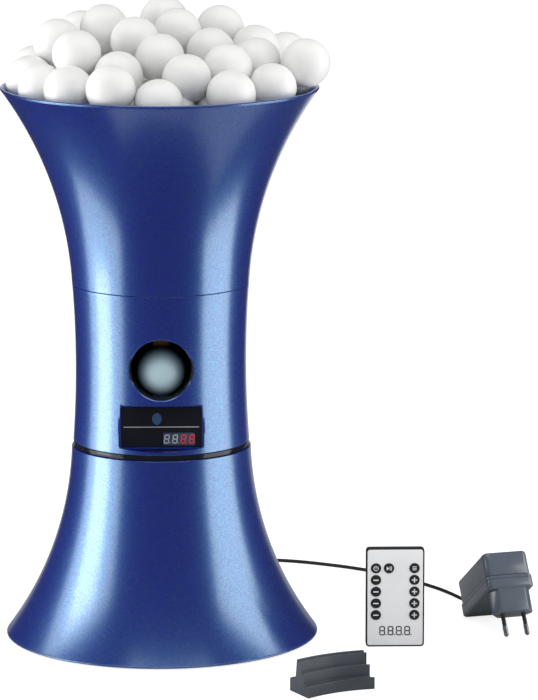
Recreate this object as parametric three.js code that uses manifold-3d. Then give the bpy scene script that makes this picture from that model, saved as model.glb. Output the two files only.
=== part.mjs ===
// Table tennis robot: a flared base, a turning head with two launching wheels, a flared bowl of
// balls, and the remote control, mains adapter and tilt stand that belong to it.
// Millimetres, +Z up. The origin is on the floor under the centre of the base, and the robot
// shoots towards -Y.
import * as THREE from "three";
import { mergeVertices } from "three/addons/utils/BufferGeometryUtils.js";
import Module from "manifold-3d";

const wasm = await Module();
wasm.setup();

// Shared sizes
const BALL_DIAMETER = 40;
const SEAT_GAP = 0.3;
const CUT_OVERRUN = 5;
const MERGE_TOLERANCE = 1e-4;
const ROUND_SIDES = 32;
const MEDIUM_SIDES = 16;
const SMALL_SIDES = 12;

// Shells of revolution: base, head and bowl
const RIM_DIAMETER = 262;
const RIM_BEAD_HEIGHT = 3.2;
const RIM_BEAD_PROUD = 1.2;
const SHELL_WALL = 2.5;
const BASE_TOP = 161;
const BASE_NECK_RADIUS = 74.4;
const BASE_ARC_RADIUS = 281;
const BASE_EDGE_LIFT = 1.2;
const BAND_HEIGHT = 4;
const BAND_RADIUS = 72.9;
const HEAD_WAIST_RADIUS = 70.7;
const HEAD_ARC_RADIUS = 870;
const BOWL_HEIGHT = 163;
const BOWL_NECK_RADIUS = 73.3;
const BOWL_ARC_RADIUS = 306;
const FLARE_STEPS = 5;
const WALL_STEPS = 3;

// Base: deck at its neck, closing plate and feet
const DECK_RING_BORE = 55;
const DECK_RING_THICKNESS = 2.4;
const FOOT_HEIGHT = 2;
const FOOT_RADIUS = 8;
const FOOT_EDGE_MARGIN = 11;
const FEET = 4;
const CENTRE_FOOT_RADIUS = 12;
const COVER_THICKNESS = 2.4;

// Turntable, spindle and oscillation gears
const SPINDLE_RADIUS = 13.7;
const SPINDLE_BORE_RADIUS = 9;
const SPINDLE_RISE = 11;
const GEAR_MODULE = 1.5;
const SUN_TEETH = 32;
const PINION_TEETH = 10;
const GEAR_WIDTH = 5;
const GEAR_FLOOR_GAP = 0.5;
const GEAR_BACKLASH = 0.25;
const TOOTH_ADDENDUM_SHARE = 0.75;
const TOOTH_DEDENDUM_SHARE = 1.15;
const TOOTH_ROOT_WIDTH_SHARE = 0.6;
const TOOTH_TIP_WIDTH_SHARE = 0.24;

// Head floor and feed deck
const HEAD_FLOOR_THICKNESS = 3;
const POST_RADIUS = 3;
const POST_SPACING = 26;
const POST_TOP_GAP = 4;
const FEED_DECK_THICKNESS = 3;
const FEED_LEDGE_WIDTH = 3.6;
const FEED_LEDGE_THICKNESS = 2.2;
const FEED_LEDGE_DROP = 11.6;
const SPIGOT_RISE = 6;
const SPIGOT_WALL = 2.4;

// Launching barrel and wheels
const LAUNCH_ABOVE_POCKET = 4.7;
const WHEEL_DECK_GAP = 3.7;
const LAUNCH_BORE_RADIUS = 25.2;
const BARREL_WALL = 1.5;
const BARREL_REAR = 12;
const WHEEL_RADIUS = 16;
const WHEEL_WIDTH = 13.5;
const TYRE_THICKNESS = 4;
const WHEEL_SETBACK = 35;
const BALL_NIP = 1;
const WHEEL_SIDE_GAP = 1.85;
const WHEEL_END_GAP = 3.5;
const PLATE_OFFSET = 13.2;
const PLATE_THICKNESS = 2;
const PLATE_HALF_LENGTH = 11;
const PLATE_BEYOND_AXIS = 10;
const WING_LENGTH = 14;
const WING_THICKNESS = 2.8;
const WING_FRONT = 4;

// Motors
const MOTOR_WIDTH = 20;
const MOTOR_FLATS = 15;
const MOTOR_LENGTH = 24.5;
const MOTOR_BOSS_RADIUS = 3;
const MOTOR_SHAFT_RADIUS = 1;
const MOTOR_CORNER = 6;
const MOTOR_CAP_LENGTH = 2;
const MOTOR_CAP_RADIUS = 4;
const GEARMOTOR_RADIUS = 11;
const GEARMOTOR_HEIGHT = 22;
const GEARMOTOR_SHAFT_RADIUS = 1.5;
const GEARMOTOR_PLATE_LENGTH = 34;
const GEARMOTOR_PLATE_WIDTH = 13;
const GEARMOTOR_PLATE_THICKNESS = 2.5;

// Feeding rotor and feed tube
const FEED_OFFSET = 40;
const FEED_TUBE_RADIUS = 22;
const FEED_TUBE_WALL = 1.5;
const FEED_BEND_RADIUS = 26;
const FEED_BEND_STEPS = 4;
const BUTTON_SIDES = 8;
const ROTOR_RADIUS = 58;
const ROTOR_POCKETS = 4;
const ROTOR_RIM_HEIGHT = 9;
const ROTOR_CONE_RADIUS = 13;
const ROTOR_CONE_RISE = 6;
const ROTOR_KNOB_RADIUS = 5;
const ROTOR_KNOB_RISE = 7;

// Front panel, drawn on the flat pocket of the head
const PANEL_PLANE = 62.8;
const POCKET_WIDTH = 70.2;
const POCKET_RISE = 4.5;
const POCKET_HEIGHT = 36;
const POCKET_CORNER = 3;
const POCKET_LEDGE_DEPTH = 12;
const POCKET_LEDGE_FALL = 2.2;
const POCKET_WALL = 3.2;
const POCKET_WALL_MARGIN = 3;
const PANEL_WIDTH = 65.6;
const PANEL_HEIGHT = 33.2;
const PANEL_LIFT = 0.9;
const PANEL_THICKNESS = 1.6;
const PANEL_CORNER = 1.5;
const DISPLAY_WIDTH = 26.2;
const DISPLAY_HEIGHT = 10.8;
const DISPLAY_X = 14.5;
const DISPLAY_RISE = 7.3;
const DISPLAY_DEPTH = 4.6;
const IR_HALF_WIDTH = 4.05;
const IR_HALF_HEIGHT = 5.1;
const IR_X = -3.6;
const IR_RISE = 24.2;
const BOARD_WIDTH = 60;
const BOARD_HEIGHT = 30;
const BOARD_THICKNESS = 1.6;

// Balls: the crown of the heap, whose lower balls are one raft on the bowl's wall
const BALL_FACET_SWELL = 1.065;
const FACET_INNER_SHARE = 0.934;
const HEAP_CIRCLE_RADIUS = 105.4;
const RAFT_BOTTOM_DROP = 32;
const RAFT_SHOULDER_DROP = 8;
const RAFT_RISE = 12;
const RAFT_TOP_RADIUS = 70;

// Places of the crown's balls from the rim's centre, lowest first, as shares of a ball's diameter
const HEAP_PLACE_SHARES = [
  [-0.025, -2.485, -0.053],
  [1.860, 1.691, 0.002],
  [0.965, 2.381, 0.077],
  [1.406, -2.155, 0.085],
  [-2.344, -1.086, 0.092],
  [2.238, -1.308, 0.120],
  [-2.618, -0.150, 0.155],
  [-1.803, -1.906, 0.160],
  [2.652, 0.116, 0.195],
  [-0.965, -2.497, 0.240],
  [-0.973, 2.495, 0.240],
  [-2.556, 0.827, 0.245],
  [0.534, -1.785, 0.365],
  [-0.825, -1.532, 0.397],
  [2.588, 1.325, 0.473],
  [-1.054, 1.298, 0.505],
  [1.354, -1.258, 0.517],
  [1.945, -0.470, 0.545],
  [2.933, -0.758, 0.558],
  [1.950, 0.608, 0.688],
  [0.007, -1.015, 0.697],
  [1.034, -0.135, 0.713],
  [-1.652, -1.160, 0.792],
  [-1.618, 2.039, 0.840],
  [-2.066, 0.239, 0.865],
  [-0.492, -0.202, 0.950],
  [1.236, 1.199, 1.033],
  [0.355, 0.495, 1.052],
  [-1.123, 0.534, 1.135],
  [0.094, 1.433, 1.208],
];

// DC inlet, plug and cord
const INLET_HEIGHT = 15;
const INLET_RADIUS = 7;
const INLET_BORE_RADIUS = 3.1;
const INLET_LENGTH = 13;
const INLET_PROUD = 9.61;
const INLET_SKIRT_GAP = 0.3;
const PLUG_BARREL_RADIUS = 2.7;
const PLUG_BARREL_LENGTH = 9;
const PLUG_RADIUS = 5;
const PLUG_LENGTH = 14;
const PLUG_NECK_RADIUS = 3.4;
const PLUG_RELIEF_LENGTH = 20;
const CORD_DIAMETER = 3;
const CORD_SIDES = 6;
const CORD_STEP_DIAMETERS = 3;
const COIL_TURNS = 7.25;
const COIL_MEAN_RADIUS = 18;
const COIL_PITCH = 3.5;
const COIL_STEPS = 22;
const COIL_SIDES = 6;
const COIL_CENTRE_Y = 213;
const TIE_THICKNESS = 0.8;
const TIE_WIDTH = 6;
const TIE_ANGLE_DEG = -45;

// Route of the cord from the plug to the coil, and from the coil to the adapter, in millimetres
const PLUG_RUN = [
  [0, 163.4, 15],
  [0, 168, 14.9],
  [0, 176, 12.6],
  [0, 185, 8.2],
  [0, 194, 4.4],
  [0, 202, 2.9],
  [0, 209.7, 2.7],
];
const ADAPTER_RUN = [
  [27.8, 237.3, 6.2],
  [34, 237.5, 6],
  [43, 238.6, 5],
  [53, 240.9, 3.2],
  [65, 244, 1.8],
  [78, 246.9, 1.6],
  [91, 248.4, 1.6],
  [104, 247.7, 1.6],
  [125, 241.2, 1.6],
  [147, 230.4, 1.6],
  [167, 218.6, 1.6],
  [186, 204.5, 1.6],
  [204, 188, 1.6],
  [219, 170, 1.6],
  [231, 152.5, 1.6],
  [242, 135.5, 1.6],
  [251.5, 117, 1.6],
  [258.5, 100, 1.8],
  [262.8, 86.5, 2.9],
];

// Adapter: it stands on its pins and on its far lower edge, whose middle is at this place
const ADAPTER_X = 274.8;
const ADAPTER_Y = 46.8;
const ADAPTER_YAW_DEG = 16.6;
const ADAPTER_WIDTH = 41;
const ADAPTER_LENGTH = 74.5;
const ADAPTER_FRONT_DEPTH = 11.2;
const ADAPTER_BACK_DEPTH = 21;
const ADAPTER_STEP_IN = 0.8;
const ADAPTER_EDGE = 1.6;
const ADAPTER_BACK_EDGE = 2.4;
const ADAPTER_CORNER = 3;
const PLUG_BLOCK_WIDTH = 35.4;
const PLUG_BLOCK_FACE_WIDTH = 24;
const PLUG_BLOCK_DEPTH = 17;
const PLUG_BLOCK_HEIGHT = 20.6;
const PLUG_INSET = 10;
const PLUG_BLOCK_DRAFT = 1;
const PIN_RADIUS = 2;
const PIN_LENGTH = 19;
const PIN_ROOT = 6;
const PIN_SPACING = 18.6;
const PIN_SLEEVE_LENGTH = 10;
const PIN_SLEEVE_WAIST = 0.25;
const RELIEF_LENGTH = 20;
const RELIEF_ROOT_RADIUS = 4;
const RELIEF_END_RADIUS = 2.2;
const RELIEF_DEPTH_PLACE = 21.8;

// Remote control, upright on its lower edge and facing -Y
const REMOTE_X = 192.4;
const REMOTE_Y = -53.4;
const REMOTE_WIDTH = 48.4;
const REMOTE_HEIGHT = 83.6;
const REMOTE_THICKNESS = 7.2;
const REMOTE_CORNER = 3;
const REMOTE_RIM = 1.3;
const REMOTE_BACK_WALL = 0.8;
const REMOTE_FACE_THICKNESS = 1.2;
const REMOTE_BOARD_THICKNESS = 0.8;
const REMOTE_BOARD_DEPTH = 2.7;
const REMOTE_LED_RADIUS = 2;
const REMOTE_LED_LENGTH = 7;
const BUTTON_RADIUS = 3.9;
const BUTTON_HOLE_RADIUS = 4.2;
const BUTTON_FLANGE_RADIUS = 4.7;
const BUTTON_PROUD = 0.6;
const BUTTON_FLANGE_THICKNESS = 0.5;
const BUTTON_ROW_PITCH = 9.9;
const BUTTON_TOP_ROW = 66.6;
const BUTTON_SIDE_X = 15.9;
const BUTTON_PLAY_X = -5.2;
const TRAY_LENGTH = 26;
const TRAY_WIDTH = 23;
const TRAY_THICKNESS = 2;
const TRAY_Z = 26;
const CELL_DIAMETER = 20;
const CELL_THICKNESS = 1.3;
const CELL_EDGE_MARGIN = 1.4;

// Tilt stand: concave steps that take the base's rim, with ends cut square
const STAND_X = 142.3;
const STAND_Y = -205.7;
const STAND_YAW_DEG = 27.9;
const STAND_LENGTH = 60.6;
const STAND_BOW_RADIUS = 100;
const STAND_RING_SIDES = 90;
const STAND_DEPTH = 29;
const STAND_STEP_HEIGHT = 8.7;
const STAND_LIP_HEIGHT = 1.1;
const STAND_LIP_WIDTH = 1.6;
const STAND_BACK_RISE = 2;
const STAND_LEDGE_HEIGHT = 10.6;
const STAND_RISERS = [0, 7.3, 12.4];
const STAND_TOP_BACK = 16.6;
const STAND_WALL_TOP = 18.3;
const STAND_WALL_FOOT = 20.4;

// Values worked out from the sizes above
const ballRadius = BALL_DIAMETER / 2;
const rimRadius = RIM_DIAMETER / 2;
const flareRadius = rimRadius - RIM_BEAD_PROUD;
const turntableBottom = BASE_TOP + SEAT_GAP;
const turntableTop = turntableBottom + BAND_HEIGHT;
const headBottom = turntableTop + SEAT_GAP;
const headFloorTop = headBottom + HEAD_FLOOR_THICKNESS;
const gearBottom = headFloorTop + GEAR_FLOOR_GAP;
const gearTop = gearBottom + GEAR_WIDTH;
const pocketBottom = headBottom + POCKET_RISE;
const launchHeight = pocketBottom + POCKET_HEIGHT + LAUNCH_ABOVE_POCKET + LAUNCH_BORE_RADIUS;
const barrelRadius = LAUNCH_BORE_RADIUS + BARREL_WALL;
const slotHalfWidth = WHEEL_WIDTH / 2 + WHEEL_SIDE_GAP;
const slotEdgeDrop = Math.sqrt(LAUNCH_BORE_RADIUS ** 2 - slotHalfWidth ** 2);
const ballHeight =
  launchHeight - slotEdgeDrop + Math.sqrt((ballRadius + SEAT_GAP) ** 2 - slotHalfWidth ** 2);
const wheelOffset = ballRadius - BALL_NIP + WHEEL_RADIUS;
const ledgeTop = ballHeight + wheelOffset + WHEEL_RADIUS + WHEEL_DECK_GAP;
const headTop = ledgeTop + FEED_LEDGE_DROP;
const headMiddle = (headBottom + headTop) / 2;
const deckBottom = ledgeTop + SEAT_GAP;
const deckTop = deckBottom + FEED_DECK_THICKNESS;
const bowlBottom = headTop + SEAT_GAP;
const bowlTop = bowlBottom + BOWL_HEIGHT;
const ballForward = Math.sqrt((ballRadius + WHEEL_RADIUS + SEAT_GAP) ** 2 - wheelOffset ** 2);
const gearDistance = (GEAR_MODULE * (SUN_TEETH + PINION_TEETH)) / 2 + GEAR_BACKLASH;
const feedTubeOuter = FEED_TUBE_RADIUS + FEED_TUBE_WALL;
const feedTubeHeight = launchHeight - LAUNCH_BORE_RADIUS + FEED_TUBE_RADIUS;
const cordRadius = CORD_DIAMETER / 2;

// Colours and finishes
function finish(color, roughness, metalness) {
  return new THREE.MeshStandardMaterial({ color, roughness, metalness });
}
const pearlBlue = finish(0x2a48b0, 0.32, 0.45);
const glossBlack = finish(0x0c0d12, 0.15, 0);
const mattBlack = finish(0x1d1f22, 0.55, 0);
const blackAbs = finish(0x24272d, 0.45, 0);
const greyAbs = finish(0x8f959c, 0.5, 0);
const whiteAbs = finish(0xf0f1f2, 0.4, 0);
const faceGrey = finish(0xdcdee0, 0.45, 0);
const rubberBlack = finish(0x151515, 0.85, 0);
const tyreBlue = finish(0x2f6f96, 0.7, 0);
const tyreBrown = finish(0x5a3526, 0.7, 0);
const steel = finish(0xb9bec4, 0.3, 0.9);
const brass = finish(0xc7a458, 0.35, 0.9);
const boardGreen = finish(0x1f5a38, 0.5, 0);
const displayDark = finish(0x3a3d4a, 0.2, 0);
const windowBlue = finish(0x22344f, 0.15, 0);
const ballWhite = finish(0xf3f3f1, 0.35, 0);
const gearWhite = finish(0xe4e1d6, 0.5, 0);

// A closed three.js geometry as a solid; triangles that shrink to a line at an axis are left out
function solidOf(geometry) {
  const bare = geometry.clone();
  bare.deleteAttribute("normal");
  bare.deleteAttribute("uv");
  const merged = mergeVertices(bare, MERGE_TOLERANCE);
  const index = merged.index.array;
  const kept = [];
  for (let i = 0; i < index.length; i += 3) {
    const [a, b, c] = [index[i], index[i + 1], index[i + 2]];
    if (a !== b && b !== c && c !== a) kept.push(a, b, c);
  }
  const mesh = new wasm.Mesh({
    numProp: 3,
    vertProperties: merged.attributes.position.array,
    triVerts: new Uint32Array(kept),
  });
  return new wasm.Manifold(mesh);
}

// The named mesh of a solid
function piece(name, solid, material) {
  const mesh = solid.getMesh();
  const geometry = new THREE.BufferGeometry();
  const positions = new THREE.BufferAttribute(new Float32Array(mesh.vertProperties), 3);
  geometry.setAttribute("position", positions);
  geometry.setIndex(new THREE.BufferAttribute(new Uint32Array(mesh.triVerts), 1));
  geometry.computeVertexNormals();
  const made = new THREE.Mesh(geometry, material);
  made.name = name;
  return made;
}

function join(...solids) {
  return solids.reduce((whole, next) => whole.add(next));
}

function cut(body, ...tools) {
  return tools.reduce((left, tool) => left.subtract(tool), body);
}

// A profile of [radius, height] points turned about Z. It goes anticlockwise round the solid,
// and closes on itself unless it starts and ends on the axis.
function turned(profile, sides) {
  const points = profile.map(([r, z]) => new THREE.Vector2(r, z));
  if (profile[0][0] > 0 || profile.at(-1)[0] > 0) points.push(points[0].clone());
  const geometry = new THREE.LatheGeometry(points, sides);
  geometry.rotateX(Math.PI / 2);
  return geometry;
}

function disc(radius, bottom, top, sides) {
  return turned(
    [
      [0, bottom],
      [radius, bottom],
      [radius, top],
      [0, top],
    ],
    sides,
  );
}

function ring(bore, radius, bottom, top, sides) {
  return turned(
    [
      [bore, bottom],
      [radius, bottom],
      [radius, top],
      [bore, top],
    ],
    sides,
  );
}

// Turns a geometry made along +Z so that it runs along +X or +Y
function alongX(geometry) {
  return geometry.rotateY(Math.PI / 2);
}

function alongY(geometry) {
  return geometry.rotateX(-Math.PI / 2);
}

// Stands a geometry drawn in the XY plane and raised along +Z up, so that it faces -Y
function facingFront(geometry) {
  return geometry.rotateX(Math.PI / 2);
}

function roundedShape(width, height, radius) {
  const shape = new THREE.Shape();
  const x = width / 2 - radius;
  const y = height / 2 - radius;
  shape.absarc(x, y, radius, 0, Math.PI / 2, false);
  shape.absarc(-x, y, radius, Math.PI / 2, Math.PI, false);
  shape.absarc(-x, -y, radius, Math.PI, (3 * Math.PI) / 2, false);
  shape.absarc(x, -y, radius, (3 * Math.PI) / 2, 2 * Math.PI, false);
  shape.closePath();
  return shape;
}

function rounded(width, height, radius, depth, curveSegments = 3) {
  return new THREE.ExtrudeGeometry(roundedShape(width, height, radius), {
    depth,
    bevelEnabled: false,
    curveSegments,
  });
}

// A rounded block whose edges at both ends are bevelled; it keeps its outer size
function softBlock(width, height, radius, depth, edge) {
  const geometry = new THREE.ExtrudeGeometry(roundedShape(width, height, radius), {
    depth: depth - 2 * edge,
    bevelEnabled: true,
    bevelThickness: edge,
    bevelSize: edge,
    bevelOffset: -edge,
    bevelSegments: 1,
    curveSegments: 2,
  });
  return geometry.translate(0, 0, edge);
}

function prism(points, depth) {
  const shape = new THREE.Shape(points.map(([x, y]) => new THREE.Vector2(x, y)));
  return new THREE.ExtrudeGeometry(shape, { depth, bevelEnabled: false });
}

function box(lowX, highX, lowY, highY, lowZ, highZ) {
  const geometry = new THREE.BoxGeometry(highX - lowX, highY - lowY, highZ - lowZ);
  return geometry.translate((lowX + highX) / 2, (lowY + highY) / 2, (lowZ + highZ) / 2);
}

// The centre of the arc of a given radius that bows inwards between two [radius, height] points
function flareCentre(narrow, wide, arcRadius) {
  const run = [wide[0] - narrow[0], wide[1] - narrow[1]];
  const chord = Math.hypot(...run);
  const reach = Math.sqrt(arcRadius ** 2 - (chord / 2) ** 2) / chord;
  const side = Math.sign(run[1]) * reach;
  const r = (narrow[0] + wide[0]) / 2 + side * run[1];
  const z = (narrow[1] + wide[1]) / 2 - side * run[0];
  return { r, z, arcRadius };
}

// The radius of a flare at a height, with its surface moved inwards by a wall's thickness
function flareAt(flare, height, inset) {
  return flare.r - Math.sqrt((flare.arcRadius + inset) ** 2 - (height - flare.z) ** 2);
}

function flareLine(flare, from, to, inset, steps = FLARE_STEPS) {
  const line = [];
  for (let i = 0; i <= steps; i++) {
    const z = from + ((to - from) * i) / steps;
    line.push([flareAt(flare, z, inset), z]);
  }
  return line;
}

const baseFlare = flareCentre([BASE_NECK_RADIUS, BASE_TOP], [flareRadius, 0], BASE_ARC_RADIUS);
const bowlFlare = flareCentre(
  [BOWL_NECK_RADIUS, bowlBottom],
  [flareRadius, bowlTop],
  BOWL_ARC_RADIUS,
);
const headFlare = { r: HEAD_WAIST_RADIUS + HEAD_ARC_RADIUS, z: headMiddle, arcRadius: HEAD_ARC_RADIUS };
const headInnerRadius = HEAD_WAIST_RADIUS - SHELL_WALL;
const headBore = flareAt(headFlare, headMiddle, SHELL_WALL) - SEAT_GAP;

const inletFace = flareAt(baseFlare, INLET_HEIGHT, 0) + INLET_PROUD;
const coverBottom = FOOT_HEIGHT + SEAT_GAP;
const coverTop = coverBottom + COVER_THICKNESS;
const coverRadius = flareAt(baseFlare, coverTop, SHELL_WALL) - SEAT_GAP;
const footCircle = coverRadius - FOOT_EDGE_MARGIN - FOOT_RADIUS;

// Base

function makeBaseSkirt() {
  const beadTop = BASE_EDGE_LIFT + RIM_BEAD_HEIGHT;
  const deckUnder = BASE_TOP - DECK_RING_THICKNESS;
  const innerFoot = flareAt(baseFlare, BASE_EDGE_LIFT, SHELL_WALL);
  const profile = [
    [innerFoot, BASE_EDGE_LIFT],
    [rimRadius, BASE_EDGE_LIFT],
    [rimRadius, beadTop],
    ...flareLine(baseFlare, beadTop, BASE_TOP, 0),
    [DECK_RING_BORE, BASE_TOP],
    [DECK_RING_BORE, deckUnder],
    ...flareLine(baseFlare, deckUnder, beadTop, SHELL_WALL, WALL_STEPS),
  ];
  const hole = alongY(disc(INLET_RADIUS + INLET_SKIRT_GAP, 0, rimRadius, MEDIUM_SIDES));
  hole.translate(0, 0, INLET_HEIGHT);
  return cut(solidOf(turned(profile, ROUND_SIDES)), solidOf(hole));
}

function makeBaseCover() {
  return solidOf(disc(coverRadius, coverBottom, coverTop, ROUND_SIDES));
}

function makeFoot(radius) {
  const profile = [
    [0, 0],
    [radius - FOOT_HEIGHT / 2, 0],
    [radius, FOOT_HEIGHT / 2],
    [radius, FOOT_HEIGHT],
    [0, FOOT_HEIGHT],
  ];
  return solidOf(turned(profile, SMALL_SIDES));
}

function makeTurntable() {
  const boss = DECK_RING_BORE - SEAT_GAP;
  const under = BASE_TOP - DECK_RING_THICKNESS;
  const profile = [
    [SPINDLE_BORE_RADIUS, under],
    [boss, under],
    [boss, turntableBottom],
    [BAND_RADIUS, turntableBottom],
    [BAND_RADIUS, turntableTop],
    [SPINDLE_RADIUS, turntableTop],
    [SPINDLE_RADIUS, turntableTop + SPINDLE_RISE],
    [SPINDLE_BORE_RADIUS, turntableTop + SPINDLE_RISE],
  ];
  return solidOf(turned(profile, ROUND_SIDES));
}

// A spur gear's outline: each tooth is two root points and two tip points
function gearShape(teeth, bore, phase) {
  const pitchRadius = (GEAR_MODULE * teeth) / 2;
  const rootRadius = pitchRadius - TOOTH_DEDENDUM_SHARE * GEAR_MODULE;
  const tipRadius = pitchRadius + TOOTH_ADDENDUM_SHARE * GEAR_MODULE;
  const step = (2 * Math.PI) / teeth;
  const points = [];
  for (let i = 0; i < teeth; i++) {
    const middle = phase + i * step;
    const corners = [
      [rootRadius, -TOOTH_ROOT_WIDTH_SHARE],
      [tipRadius, -TOOTH_TIP_WIDTH_SHARE],
      [tipRadius, TOOTH_TIP_WIDTH_SHARE],
      [rootRadius, TOOTH_ROOT_WIDTH_SHARE],
    ];
    for (const [radius, share] of corners) {
      const angle = middle + (share * step) / 2;
      points.push(new THREE.Vector2(radius * Math.cos(angle), radius * Math.sin(angle)));
    }
  }
  const shape = new THREE.Shape(points);
  shape.holes.push(new THREE.Path().absarc(0, 0, bore, 0, 2 * Math.PI, true));
  return shape;
}

function makeGear(teeth, bore, phase) {
  return new THREE.ExtrudeGeometry(gearShape(teeth, bore, phase), {
    depth: GEAR_WIDTH,
    bevelEnabled: false,
    curveSegments: SMALL_SIDES,
  });
}

function makeSunGear() {
  const gear = makeGear(SUN_TEETH, SPINDLE_RADIUS + SEAT_GAP, Math.PI / 2);
  return solidOf(gear.translate(0, 0, gearBottom));
}

// The pinion stands a gap, half a tooth on, towards the sun gear
function makePinion() {
  const phase = -Math.PI / 2 + Math.PI / PINION_TEETH;
  const gear = makeGear(PINION_TEETH, GEARMOTOR_SHAFT_RADIUS + SEAT_GAP, phase);
  return solidOf(gear.translate(0, gearDistance, gearBottom));
}

// Power inlet and plug, on the base's rear

function makeInlet() {
  const barrel = alongY(
    ring(INLET_BORE_RADIUS, INLET_RADIUS, inletFace - INLET_LENGTH, inletFace, MEDIUM_SIDES),
  );
  return solidOf(barrel.translate(0, 0, INLET_HEIGHT));
}

function makePlug() {
  const face = inletFace + SEAT_GAP;
  const reliefStart = face + PLUG_LENGTH;
  const profile = [
    [0, face - PLUG_BARREL_LENGTH],
    [PLUG_BARREL_RADIUS, face - PLUG_BARREL_LENGTH],
    [PLUG_BARREL_RADIUS, face],
    [PLUG_RADIUS, face],
    [PLUG_RADIUS, reliefStart],
    [PLUG_NECK_RADIUS, reliefStart],
    [RELIEF_END_RADIUS, reliefStart + PLUG_RELIEF_LENGTH],
    [0, reliefStart + PLUG_RELIEF_LENGTH],
  ];
  const plug = alongY(turned(profile, SMALL_SIDES));
  return solidOf(plug.translate(0, 0, INLET_HEIGHT));
}

// Cord: a round section carried along a smooth curve through the route's points
function makeCordRun(route) {
  const curve = new THREE.CatmullRomCurve3(
    route.map((p) => new THREE.Vector3(...p)),
    false,
    "centripetal",
  );
  const steps = Math.ceil(curve.getLength() / (CORD_STEP_DIAMETERS * CORD_DIAMETER));
  const section = new THREE.Shape();
  for (let i = 0; i < CORD_SIDES; i++) {
    const angle = (2 * Math.PI * i) / CORD_SIDES;
    const [x, y] = [cordRadius * Math.cos(angle), cordRadius * Math.sin(angle)];
    if (i === 0) section.moveTo(x, y);
    else section.lineTo(x, y);
  }
  section.closePath();
  const tube = new THREE.ExtrudeGeometry(section, { steps, extrudePath: curve, bevelEnabled: false });
  return { solid: solidOf(tube), length: curve.getLength() };
}

// Cord coil: it spirals in on the lower layer, climbs while it reverses, and spirals out on the
// upper layer. It turns clockwise, starts at its left-hand side and ends straight at both ends.
const coilHalf = COIL_TURNS / 2;
const coilInner = COIL_MEAN_RADIUS - (COIL_PITCH * coilHalf) / 2;
const coilOuter = COIL_MEAN_RADIUS + (COIL_PITCH * coilHalf) / 2;
const coilFloor = TIE_THICKNESS + SEAT_GAP + cordRadius;

function coilPoint(turn) {
  const radius = coilInner + COIL_PITCH * Math.abs(turn - coilHalf);
  const climbShare = Math.min(Math.max(turn - coilHalf + 0.25, 0), 0.5) / 0.5;
  const angle = Math.PI - 2 * Math.PI * turn;
  return new THREE.Vector3(
    coilOuter + radius * Math.cos(angle),
    COIL_CENTRE_Y + radius * Math.sin(angle),
    coilFloor + COIL_PITCH * climbShare,
  );
}

function coilPoints() {
  const points = [];
  const steps = Math.round(COIL_TURNS * COIL_STEPS);
  for (let i = 0; i <= steps; i++) points.push(coilPoint((COIL_TURNS * i) / steps));
  const first = points[0].clone();
  const last = points.at(-1).clone();
  points.unshift(first.add(new THREE.Vector3(0, -CORD_DIAMETER, 0)));
  points.push(last.add(new THREE.Vector3(CORD_DIAMETER, 0, 0)));
  return points;
}

// A tube on rings of points: each ring stands square to the mean of its two neighbours' directions
function ringTube(points, radius, sides) {
  const positions = [];
  const index = [];
  const up = new THREE.Vector3(0, 0, 1);
  points.forEach((point, i) => {
    const before = points[Math.max(i - 1, 0)];
    const after = points[Math.min(i + 1, points.length - 1)];
    const along = after.clone().sub(before).normalize();
    const across = along.clone().cross(up).normalize();
    const over = along.clone().cross(across);
    for (let k = 0; k < sides; k++) {
      const angle = (2 * Math.PI * k) / sides;
      const spot = point.clone();
      spot.addScaledVector(across, radius * Math.cos(angle));
      spot.addScaledVector(over, radius * Math.sin(angle));
      positions.push(spot.x, spot.y, spot.z);
    }
  });
  for (let i = 0; i + 1 < points.length; i++) {
    for (let k = 0; k < sides; k++) {
      const next = (k + 1) % sides;
      const [a, b] = [i * sides + k, i * sides + next];
      const [c, d] = [a + sides, b + sides];
      index.push(a, b, c, b, d, c);
    }
  }
  const end = (points.length - 1) * sides;
  for (let k = 1; k + 1 < sides; k++) {
    index.push(0, k + 1, k);
    index.push(end, end + k, end + k + 1);
  }
  const geometry = new THREE.BufferGeometry();
  geometry.setAttribute("position", new THREE.Float32BufferAttribute(positions, 3));
  geometry.setIndex(index);
  return geometry;
}

// The least distance between stretches of the coil that are at least half a turn apart, less its
// thickness, and the coil's length
function measureCoil(points) {
  let least = Infinity;
  let length = 0;
  for (let i = 1; i < points.length; i++) length += points[i].distanceTo(points[i - 1]);
  for (let i = 0; i < points.length; i++) {
    for (let j = i + COIL_STEPS / 2; j < points.length; j++) {
      least = Math.min(least, points[i].distanceTo(points[j]));
    }
  }
  return { gap: least - CORD_DIAMETER, length };
}

function makeTie() {
  const width = coilOuter - coilInner + CORD_DIAMETER + 2 * SEAT_GAP;
  const height = COIL_PITCH + CORD_DIAMETER + 2 * SEAT_GAP;
  const outer = roundedShape(width + 2 * TIE_THICKNESS, height + 2 * TIE_THICKNESS, cordRadius);
  outer.holes.push(roundedShape(width, height, TIE_THICKNESS));
  const band = new THREE.ExtrudeGeometry(outer, {
    depth: TIE_WIDTH,
    bevelEnabled: false,
    curveSegments: 2,
  });
  band.translate(COIL_MEAN_RADIUS, 0, -TIE_WIDTH / 2);
  facingFront(band);
  band.rotateZ(THREE.MathUtils.degToRad(TIE_ANGLE_DEG));
  return solidOf(band.translate(coilOuter, COIL_CENTRE_Y, coilFloor + COIL_PITCH / 2));
}

// Head housing: a waisted barrel with the launching hole, the panel's flat pocket, a ledge for
// the feed deck and a spigot that centres the bowl

function headOutline(bottom, top) {
  return [[0, bottom], ...flareLine(headFlare, bottom, top, 0, WALL_STEPS), [0, top]];
}

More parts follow.
